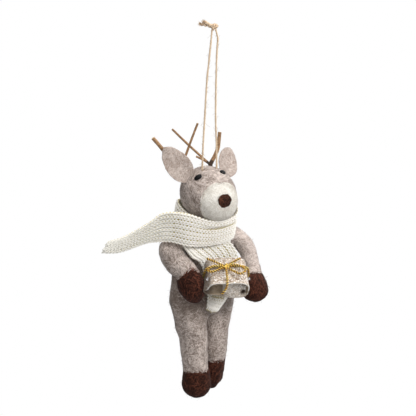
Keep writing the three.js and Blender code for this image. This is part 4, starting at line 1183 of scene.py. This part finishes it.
# Loops of one course: across = t + 1.8*sin(2t) - 0.5*sin(t) in units of a stitch's width over 2*pi,
# along = -reach*cos(t) courses and through = -0.65*cos(2t) + 0.28*cos(t) millimetres
def buildScarf():
    fine = np.linspace(0, 1, 2001)
    middle, width, _, _ = scarfAt(fine)
    run = runOf(middle)
    total = run[-1]
    base = buildShadeSheet(np.interp(np.linspace(0, total, 420), run, fine))

    courses, wales = int(round(total / yarnSize["course"])), yarnSize["wales"]
    t = np.linspace(0, 2 * np.pi * wales, 18 * wales + 1)
    unitAcross = (t + 1.8 * np.sin(2 * t) - 0.5 * np.sin(t)) / (2 * np.pi * wales) * 2 - 1
    c = np.arange(courses) + 0.5
    rng = np.random.default_rng(3)
    stitch = np.minimum((t / (2 * np.pi)).astype(int), wales - 1)
    reach = yarnSize["reach"] * (1 + rng.normal(size=(courses, wales)) * 0.12)[:, stitch]
    uneven = noiseAt(np.stack(np.broadcast_arrays(c[:, None] * 0.5, t[None], 0.0), -1), 9.0, 14)
    along = (c[:, None] - reach * np.cos(t)[None] + 0.5 * uneven) * (total / courses)
    place = np.interp(np.clip(along, 0, total), run, fine)
    depth = (-0.65 * np.cos(2 * t) + 0.28 * np.cos(t))[None] + 0 * along
    across = np.repeat(unitAcross[None], courses, 0) * 0.97
    _, half, through, ahead = scarfAt(place.ravel())
    overshoot = np.maximum(0, along - total) - np.maximum(0, -along)
    path = onScarf(place, across, depth) + (ahead * overshoot.ravel()[:, None]).reshape(*place.shape, 3)

    tangent = unit(np.gradient(path, axis=1))
    sideways = unit(np.cross(tangent, through.reshape(path.shape)))
    up = np.cross(sideways, tangent)
    sides = 7
    angle = turnAngles(sides)
    tight = np.clip(np.linalg.norm(half, axis=1) / 10.8, 0.7, 1.05).reshape(place.shape)
    radius = (yarnSize["radius"] * tight * (1 + 0.14 * noiseAt(path, 1.1, 8)))[..., None, None]
    rings = (path[:, :, None] + sideways[:, :, None] * np.cos(angle)[None, None, :, None] * radius
             + up[:, :, None] * np.sin(angle)[None, None, :, None] * radius)

    shades = yarnShades(t, angle, place, across, depth)
    yarn, loops = yarnLook(), []
    quads = gridQuads(path.shape[1], sides)
    spans = {"scarf_loops_a": slice(0, courses // 2), "scarf_loops_b": slice(courses // 2, courses)}
    for name, span in spans.items():
        block = rings[span]
        first = (np.arange(len(block)) * path.shape[1] * sides)[:, None, None]
        loops.append(makePiece(name, (block, quads[None] + first, noTris), "figure", "knit", yarn,
                               **{key: shades[key][span] for key in shades}))


buildScarf()
print("scarf built")


# Parcel

# Rounded rectangle as 240 points evenly apart
def roundedOutline(width, height, corner):
    outline = []
    for quarter, (sx, sz) in enumerate(((1, 1), (-1, 1), (-1, -1), (1, -1))):
        angle = (quarter + np.linspace(0, 1, 24)) * np.pi / 2
        outline.append(np.stack([sx * (width / 2 - corner) + np.cos(angle) * corner,
                                 sz * (height / 2 - corner) + np.sin(angle) * corner], -1))
    closed = np.concatenate([*outline, outline[0][:1]])
    steps = runOf(closed)
    even = np.linspace(0, steps[-1], 241)[:-1]
    return np.stack([np.interp(even, steps, closed[:, k]) for k in (0, 1)], -1)


# Glitter sheet: flakes of their own tone and shine with painted glints, plain paper inside, painted shade
# where "dark" says and a painted highlight and painted light where "rim" says
def glitterLook():
    look = Look("glitter_sheet", Specular_IOR_Level=0.6)
    flakes = look.cells(0.55)
    red, green, blue = (look.channel(flakes, i) for i in range(3))
    fine = look.channel(look.cells(0.28), 0)
    creases = look.noise(2.4, 4.0, look.space((1, 1, 1), (0, 0, 0), look.noise(4.0, 1.0, colour=True), 3.0))
    base = look.mix((red * 0.6 + fine * 0.4).step(0.15, 0.85), (146, 122, 98), (218, 205, 190))
    # painted glints: the brightest flakes, more of them where the creases rise
    base = look.mix((green + (creases - 0.5) * 1.2).step(0.76, 0.90), base, (255, 253, 250))
    base = look.mix((blue + (creases - 0.5) * 0.5).step(0.84, 0.93), base, (108, 82, 54))
    base = look.mix(look.value("inner").step(0, 1), base, (184, 164, 138))
    # painted shade where "dark" says: inside the tube, at its sides and in the flap's creases
    base = look.mix(look.value("dark").step(0, 1), base, (62, 43, 28))
    # painted highlight along the front edge and painted light over the flap where "rim" says
    look.colour(look.mix(look.value("rim").step(0.2, 0.8), base, (244, 237, 227)))
    look.link("Metallic", green.step(0.3, 0.9) * 0.35)
    look.link("Roughness", 0.28 + red * 0.3)
    look.bump(red * 0.6 + look.cells(0.55, "Distance") * 1.2 + creases * 2.4, 0.26, 0.9)
    return look.material


# Height of the crumpled sheet: slow swells, folded ridges 1 - 2*|noise| and small dents
def crumple(points, seed):
    ridge = 1 - np.abs(noiseAt(points, 4.2, seed)) * 2
    return 0.36 * noiseAt(points, 7.0, seed + 3) + 0.22 * ridge + 0.15 * noiseAt(points, 1.8, seed + 4)


# Sheet rolled into a flattened tube, its front edge set back at the lower left
def tubePart():
    size = parcelSize
    long, high, wide = size["length"], size["height"], size["width"]
    y = np.linspace(-long / 2, long / 2, 100)
    outer = roundedOutline(wide, high, size["corner"])
    inner = roundedOutline(wide - 2 * size["wall"], high - 2 * size["wall"], size["corner"] - size["wall"])
    lip = 0.5 * np.exp(-((y + long / 2) / 2.2) ** 2)[:, None]
    shells = []
    for outline in (outer, inner):
        direction = unit(np.stack([outline[:, 0] * 0.25, outline[:, 1]], -1))
        uneven = noiseAt(np.stack([outline[:, 0], 0 * outline[:, 0], outline[:, 1]], -1), 6.0, 9)
        lowLeft = smooth(2.5, -4.0, outline[:, 1]) * smooth(3.0, -4.0, outline[:, 0])
        setBack = 0.5 * uneven + 2.2 * lowLeft
        flare = 2.2 * smooth(0.1, 1.0, (long / 2 - y) / long)[:, None] * lowLeft[None]
        x = outline[None, :, 0] + direction[None, :, 0] * lip * 0.3 - flare
        z = outline[None, :, 1] + direction[None, :, 1] * lip * (outline[None, :, 1] > 0) * 0.5
        local = np.stack([x, y[:, None] + setBack * ((long / 2 - y) / long)[:, None], z], -1)
        middle = np.stack(np.broadcast_arrays(outer[None, :, 0], y[:, None], outer[None, :, 1]), -1)
        fold = crumple(middle, 21) * smooth(0, 2.0, long / 2 - np.abs(y) + 1.0)[:, None]
        local[..., 0] += direction[None, :, 0] * fold * 0.7
        local[..., 2] += direction[None, :, 1] * fold * 0.7
        shells.append(local)
    outside, inside = shells
    grid = onParcel(np.concatenate([outside, inside[::-1]]))
    rows, columns = grid.shape[:2]
    k = (np.arange(columns) + 1) % columns
    last = (rows - 1) * columns
    closing = np.stack([last + np.arange(columns), last + k, k, np.arange(columns)], -1)
    within = np.concatenate([np.zeros(outside.shape[:2]), np.ones(inside.shape[:2])])
    # painted shade: deep inside the tube towards its top and left, and on both sides outside, more on the
    # left
    deep = smooth(0.5, 3.0, inside[..., 2]) * 0.7 + smooth(-6.0, -12.5, inside[..., 0]) * 0.8
    aside = 0.45 * smooth(-9.0, -12.8, outside[..., 0]) + 0.2 * smooth(11.0, 13.0, outside[..., 0])
    dark = np.concatenate([aside, np.clip(deep, 0, 1)[::-1]])
    # painted highlight along the upper part of the front edge
    edge = 0.8 * np.exp(-((y + long / 2) / 0.25) ** 2)[:, None] * smooth(-2.5, 1.0, outside[..., 2])
    rim = np.concatenate([edge, edge[::-1]])
    return (grid, np.concatenate([gridQuads(rows, columns), closing]), noTris,
            np.stack([within, dark * (1 - rim), rim], -1))


# Flap, folded in over the right three fifths of the tube's end, with two deep creases at its side:
# a runs from its hinge on the right to its free side, b from the bottom to the top
def flapPart():
    long, high, wide = parcelSize["length"], parcelSize["height"], parcelSize["width"]
    a, b = np.meshgrid(np.linspace(0, 1, 100), np.linspace(0, 1, 80), indexing="ij")
    x = wide / 2 - flapSize["hinge"] - a * flapSize["length"]
    top, bottom, corner = high / 2 - flapSize["top"], flapSize["bottom"] - high / 2, flapSize["corner"]
    beside = np.clip(corner - (wide / 2 - flapSize["side"] - x), 0, corner)
    inset = corner - np.sqrt(np.clip(corner ** 2 - beside ** 2, 0, None))
    z = (bottom + inset) + (top - bottom - 2 * inset) * b
    front = -long / 2 + 0.2 - 0.9 * np.sin(np.pi * a) * (1 - b) + 4.6 * b ** 1.3
    local = np.stack([x, front, z], -1)
    creases = (np.exp(-((a - 0.09) / 0.08) ** 2 - ((b - 0.82) / 0.13) ** 2)
               + np.exp(-((a - 0.12) / 0.10) ** 2 - ((b - 0.24) / 0.11) ** 2))
    local[..., 1] += 2.2 * creases + 0.5 * noiseAt(local, 3.4, 67) + 0.25 * noiseAt(local, 1.6, 68)
    local[..., 1] += 2.4 * smooth(0.88, 1.0, a) ** 2
    back = local + np.array([0, flapSize["thick"], 0])
    p, q, tr = closedGrid(onParcel(np.concatenate([local, back[:, ::-1]], 1)))
    # painted shade in the two creases and along the top, under the tube's edge; painted light over the rest
    # of the flap, brighter along its free side and bottom
    shade = np.clip(creases * 1.5 + smooth(0.90, 1.0, b) * 0.8, 0, 1)
    light = np.maximum(np.maximum(smooth(0.96, 0.99, a), smooth(0.03, 0.0, b)) * 0.7, 0.42 * (1 - shade))
    values = np.stack([0 * a, shade, light], -1)
    values = np.concatenate([values, values[:, ::-1]], 1).reshape(-1, 3)
    return p, q, tr, np.concatenate([values, np.zeros((2, 3))])


def buildParcel():
    look = glitterLook()
    part = joinParts([tubePart(), flapPart()])
    inner, dark, rim = part[3].T
    piece = makePiece("parcel_sheet", part, "figure", "glitter_sheet", look, "parcel_wrap",
                      inner=inner, dark=dark, rim=rim)


buildParcel()


# Gold cord: two plies twisted tight, its band, bow and tails on the CAD's routes: shares of the parcel's
# width and length, and a rise over its top

goldSize = {"radius": 0.82, "pitch": 3.2, "rise": 1.05, "band": 0.14}
bowShares = [
    [[-0.05, -0.04, 0.6], [-0.23, -0.06, 1.5], [-0.40, -0.10, 1.7], [-0.51, -0.18, 1.2], [-0.41, -0.25, 0.9],
     [-0.23, -0.17, 1.1], [-0.05, -0.05, 0.9]],
    [[-0.05, -0.04, 0.6], [0.05, -0.03, 1.3], [0.19, -0.02, 1.5], [0.36, -0.12, 1.5], [0.41, -0.24, 1.4],
     [0.29, -0.35, 1.3], [0.12, -0.25, 1.3], [-0.05, -0.05, 0.9]],
    [[-0.05, -0.05, 0.9], [-0.20, 0.02, 1.6], [-0.35, 0.12, 1.8], [-0.50, 0.22, 1.9]],
    [[-0.05, -0.05, 0.9], [0.03, -0.01, 1.4], [0.16, 0.10, 1.7], [0.32, 0.21, 1.9]],
    [[-0.05, -0.05, 0.9], [-0.05, -0.25, 1.4], [-0.05, -0.48, 1.3], [-0.06, -0.67, 1.0], [-0.09, -0.80, -1.2],
     [-0.18, -0.90, -3.6]],
]


def buildGold():
    look = Look("gold_cord_metal", Roughness=0.3, Specular_IOR_Level=0.6)
    # painted shade in the grooves between the plies and a painted highlight on their crowns
    valley = look.value("edge") + (look.noise(0.3, 2.0) - 0.5) * 0.3
    tone = look.mix(valley.step(0.76, 0.97), (78, 40, 4), (242, 176, 30))
    look.colour(look.mix((look.noise(0.6, 2.0) * 0.5 + valley * 0.5).step(0.68, 0.79), tone, (255, 236, 130)))
    look.link("Metallic", valley.step(0.6, 0.9) * 0.35)
    look.bump(look.noise(0.18, 2.0), 0.08, 0.7)
    rise = goldSize["rise"]
    bandPlace = goldSize["band"] * parcelSize["length"]
    outline = roundedOutline(parcelSize["width"] + 2 * rise, parcelSize["height"] + 2 * rise,
                             parcelSize["corner"] + rise)
    band = onParcel(np.stack([outline[:, 0], np.full(len(outline), bandPlace), outline[:, 1]], -1))
    routes = [smoothRoute(band[::8], 0.16, closed=True)]
    top = parcelSize["height"] / 2 + rise
    for route in bowShares:
        local = np.array([[x * parcelSize["width"], bandPlace + y * parcelSize["length"], top + z * 1.2]
                          for x, y, z in route])
        routes.append(smoothRoute(onParcel(local), 0.16))
    centre = onParcel(np.array([-0.05 * parcelSize["width"], bandPlace - 0.04 * parcelSize["length"],
                                top + 0.6]))
    wrap = np.linspace(0, 2 * np.pi * 1.6, 70)
    for turns in ((0.81 * np.cos(wrap), 0.105 * wrap - 0.525, 0.85 * np.sin(wrap)),
                  (0.9 * np.sin(wrap) + 0.1, 1.1 * np.cos(wrap), 0.3 * np.sin(2 * wrap) + 0.5)):
        routes.append(np.stack(turns, -1) @ parcelTurn.T + centre)
    grids = (pliedGrid(path, goldSize["radius"], 2, goldSize["pitch"], sides=16, ply=0.5) for path in routes)
    part = joinParts([cappedPart(grid, edge, 0.7) for grid, edge in grids])
    makePiece("gold_bow", part, "figure", "gold_cord", look.material, "gold_cord", edge=part[3])


buildGold()


# Hot glue: clear uneven drops in the grooves between the hands and the parcel
def buildGlue():
    look = Look("clear_glue_drop", Roughness=0.2, IOR=1.46, Transmission_Weight=0.85)
    look.colour(look.mix(look.noise(1.2, 2.0).step(0.3, 0.7), (232, 232, 236), (250, 250, 252)))
    look.bump(look.noise(1.0, 2.0), 0.2, 0.6)
    for side, sign in signs.items():
        low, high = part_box("glue_" + side)
        middle, half = np.array((low + high) / 2) / MM, np.array((high - low) / 2) / MM
        ball = ballPoints(0.01, 40, 48)
        ball = middle + ball * half * (0.38 + 0.10 * noiseAt(ball, 0.8, 91 + sign))[..., None]
        makePiece("glue_drop_" + side, closedGrid(ball[::-1]), "figure", "clear_glue", look.material,
                  "glue_" + side)


buildGlue()
print("parcel built")


# Hidden armature wires keep their CAD form
def dressWires():
    look = Look("craft_wire", Metallic=1.0)
    look.colour(look.mix(look.noise(1.0, 2.0).step(0.3, 0.7), (120, 122, 124), (168, 170, 172)))
    look.link("Roughness", 0.3 + look.noise(0.6, 2.0) * 0.2)
    for name in ("arm_wire", "leg_wire", "neck_wire"):
        dressNode(name, look.material)


dressWires()


# Loose fibres over the wool: most lie on it, some stand off

# painted light: the "light" fibres of the left arm are a lighter copy of the grey ones, for the light that
# falls on it
fibreLooks = {
    "grey": fibreLook("grey_fibres", (118, 103, 93), (216, 202, 193)),
    "light": fibreLook("lit_arm_fibres", (148, 132, 123), (220, 207, 199)),
    "pale": fibreLook("pale_fibres", (154, 137, 126), (208, 195, 186)),
    "white": fibreLook("white_fibres", (198, 191, 179), (231, 227, 219)),
    "brown": fibreLook("brown_fibres", (34, 19, 15), (98, 56, 42), 0.05),
    "rust": fibreLook("rust_fibres", (40, 22, 17), (128, 74, 54), 0.05),
}
slots = {"light": "grey_wool", "rust": "brown_wool"}
# Per form: colour, then count and length of the wide locks and of the fine hairs
fibres = {
    "head": ("grey", 4200, 6.0, 6500, 4.5), "muzzle": ("white", 1500, 4.5, 2600, 3.5),
    "nose": ("rust", 260, 2.4, 900, 1.6),
    "ear_right": ("pale", 700, 3.2, 1600, 2.4), "ear_left": ("pale", 600, 3.2, 1400, 2.4),
    "torso": ("grey", 6500, 7.0, 8000, 5.0), "leg_right": ("grey", 3800, 7.0, 6000, 4.6),
    "leg_left": ("grey", 3400, 7.0, 5500, 4.6), "hoof_right": ("brown", 900, 6.5, 1800, 5.0),
    "hoof_left": ("brown", 900, 6.5, 1800, 5.0), "arm_right": ("grey", 2200, 6.5, 3600, 4.4),
    "arm_left": ("light", 1700, 6.5, 3000, 4.4), "hand_right": ("brown", 800, 6.0, 1700, 4.6),
    "hand_left": ("brown", 800, 6.0, 1700, 4.6),
}


# Values of a ringed grid at fractional rows and columns
def fromGrid(values, i, j):
    rows, columns = values.shape[:2]
    i = np.clip(i, 0, rows - 1.001)
    a, b = np.floor(i).astype(int), np.floor(j).astype(int)
    u, v = i - a, j - b
    if values.ndim == 3:
        u, v = u[:, None], v[:, None]
    b, c = b % columns, (b + 1) % columns
    first = values[a, b] * (1 - u) + values[a + 1, b] * u
    second = values[a, c] * (1 - u) + values[a + 1, c] * u
    return first * (1 - v) + second * v


# Fibres that follow a form. A step d along the surface is x rows and y columns, where
# d = x*along + y*around, and the way turns a little at each step.
def followForm(grid, normals, mask, i, j, direction, length, segments, turn):
    along = np.gradient(grid, axis=0)
    around = (np.roll(grid, -1, 1) - np.roll(grid, 1, 1)) / 2
    points, ups, shown = [], [], []
    for _ in range(segments + 1):
        up = unit(fromGrid(normals, i, j))
        points.append(fromGrid(grid, i, j))
        ups.append(up)
        shown.append(fromGrid(mask, i, j))
        direction = unit(direction - up * (direction * up).sum(1, keepdims=True))
        direction = unit(direction + np.cross(up, direction) * turn)
        a, b = fromGrid(along, i, j), fromGrid(around, i, j)
        aa, ab, bb = (a * a).sum(1), (a * b).sum(1), (b * b).sum(1)
        da, db = (direction * a).sum(1), (direction * b).sum(1)
        spread = aa * bb - ab * ab + 1e-6
        i = i + np.clip((da * bb - db * ab) / spread * length / segments, -9, 9)
        j = j + np.clip((db * aa - da * ab) / spread * length / segments, -9, 9)
    return np.stack(points, 1), np.stack(ups, 1), np.stack(shown, 1)


# Cells are drawn with a chance that goes with their area. Fibres run along a slow flow, each turned
# from it by up to the spread, and some of the fine ones stand off.
def buildFibres(piece, name, kind, count, length, width, spread, strays, segments, seed):
    grid, normals, mask = fuzzSources[name]
    mask = np.asarray(mask, float)
    rng = np.random.default_rng(seed)
    cells = np.cross(grid[1:] - grid[:-1], np.roll(grid, -1, 1)[:-1] - grid[:-1])
    area = np.linalg.norm(cells, axis=-1) * mask[:-1]
    pick = rng.choice(area.size, count, p=area.ravel() / area.sum())
    i = pick // grid.shape[1] + rng.uniform(0, 1, count)
    j = pick % grid.shape[1] + rng.uniform(0, 1, count)
    start = fromGrid(grid, i, j)
    flow = np.stack([noiseAt(start, 8.0, seed + k) for k in range(3)], -1)
    direction = unit(unit(flow) + rng.normal(size=(count, 3)) * spread)
    turn = rng.normal(size=(count, 1)) * (0.4 if kind == "brown" else 0.7) / segments
    lengths = length * rng.uniform(0.45, 1.25, count)
    points, ups, shown = followForm(grid, normals, mask, i, j, direction, lengths, segments, turn)
    s = np.linspace(0, 1, segments + 1)[None]
    rise = 0.02 + rng.uniform(0.02, 0.22, (count, 1)) * np.sin(np.pi * s)
    off = (rng.uniform(0, 1, (count, 1)) < strays) * rng.uniform(0.1, 0.45, (count, 1)) * lengths[:, None]
    points = points + ups * (rise + off * s ** 1.5)[..., None]
    flat = unit(np.cross(np.gradient(points, axis=1), ups))
    wide = width * (0.30 + 0.70 * np.sin(np.pi * (0.08 + 0.84 * s))) / 2 * smooth(0.2, 0.5, shown)
    strips, quads = stripMesh(points, flat, wide[..., None])
    shade = rng.uniform(0, 1, count) + 0.3 * noiseAt(start, 4.0, seed + 9)
    # painted shade at the hips darkens the fibres there too
    shade = np.clip(shade - 0.4 * hipShade(start) * name.startswith(("torso", "leg")), 0, 1)
    makePiece(piece, (strips, quads, noTris), "figure", slots.get(kind, kind + "_wool"), fibreLooks[kind],
              shade=np.repeat(shade, (segments + 1) * 2))


# Share of the fine hairs that stand off. None does on the head, where the twine comes to lie on it.
strayShares = {"head": 0.0, "nose": 0.12, "hand_right": 0.07, "hand_left": 0.07}
for seed, (name, (kind, locks, lockLength, hairs, hairLength)) in enumerate(fibres.items()):
    buildFibres(name + "_locks", name, kind, locks, lockLength, width=0.36, spread=0.45, strays=0.0,
                segments=7, seed=500 + seed * 20)
    buildFibres(name + "_hairs", name, kind, hairs, hairLength, width=0.12, spread=0.9,
                strays=strayShares.get(name, 0.035), segments=5, seed=510 + seed * 20)
print("fibres built")


# Floor far below, pale and plain
def buildFloor():
    mesh = bpy.data.meshes.new("floor")
    corners = ((-12, -12), (12, -12), (12, 12), (-12, 12))
    mesh.from_pydata([(x, y, -1.3) for x, y in corners], [], [(0, 1, 2, 3)])
    floor = bpy.data.objects.new("floor", mesh)
    bpy.context.scene.collection.objects.link(floor)
    look = Look("floor_pale", Roughness=0.9)
    look.colour(look.mix(look.noise(400.0, 1.0), (214, 214, 214), (220, 220, 220)))
    seen, glow = look.node("LightPath", {}), look.node("Emission", {})
    blend = look.node("MixShader", {0: seen.outputs["Is Camera Ray"], 1: look.shader.outputs[0],
                                    2: glow.outputs[0]})
    look.tree.links.new(blend.outputs[0], look.out.inputs["Surface"])
    mesh.materials.append(look.material)


buildFloor()
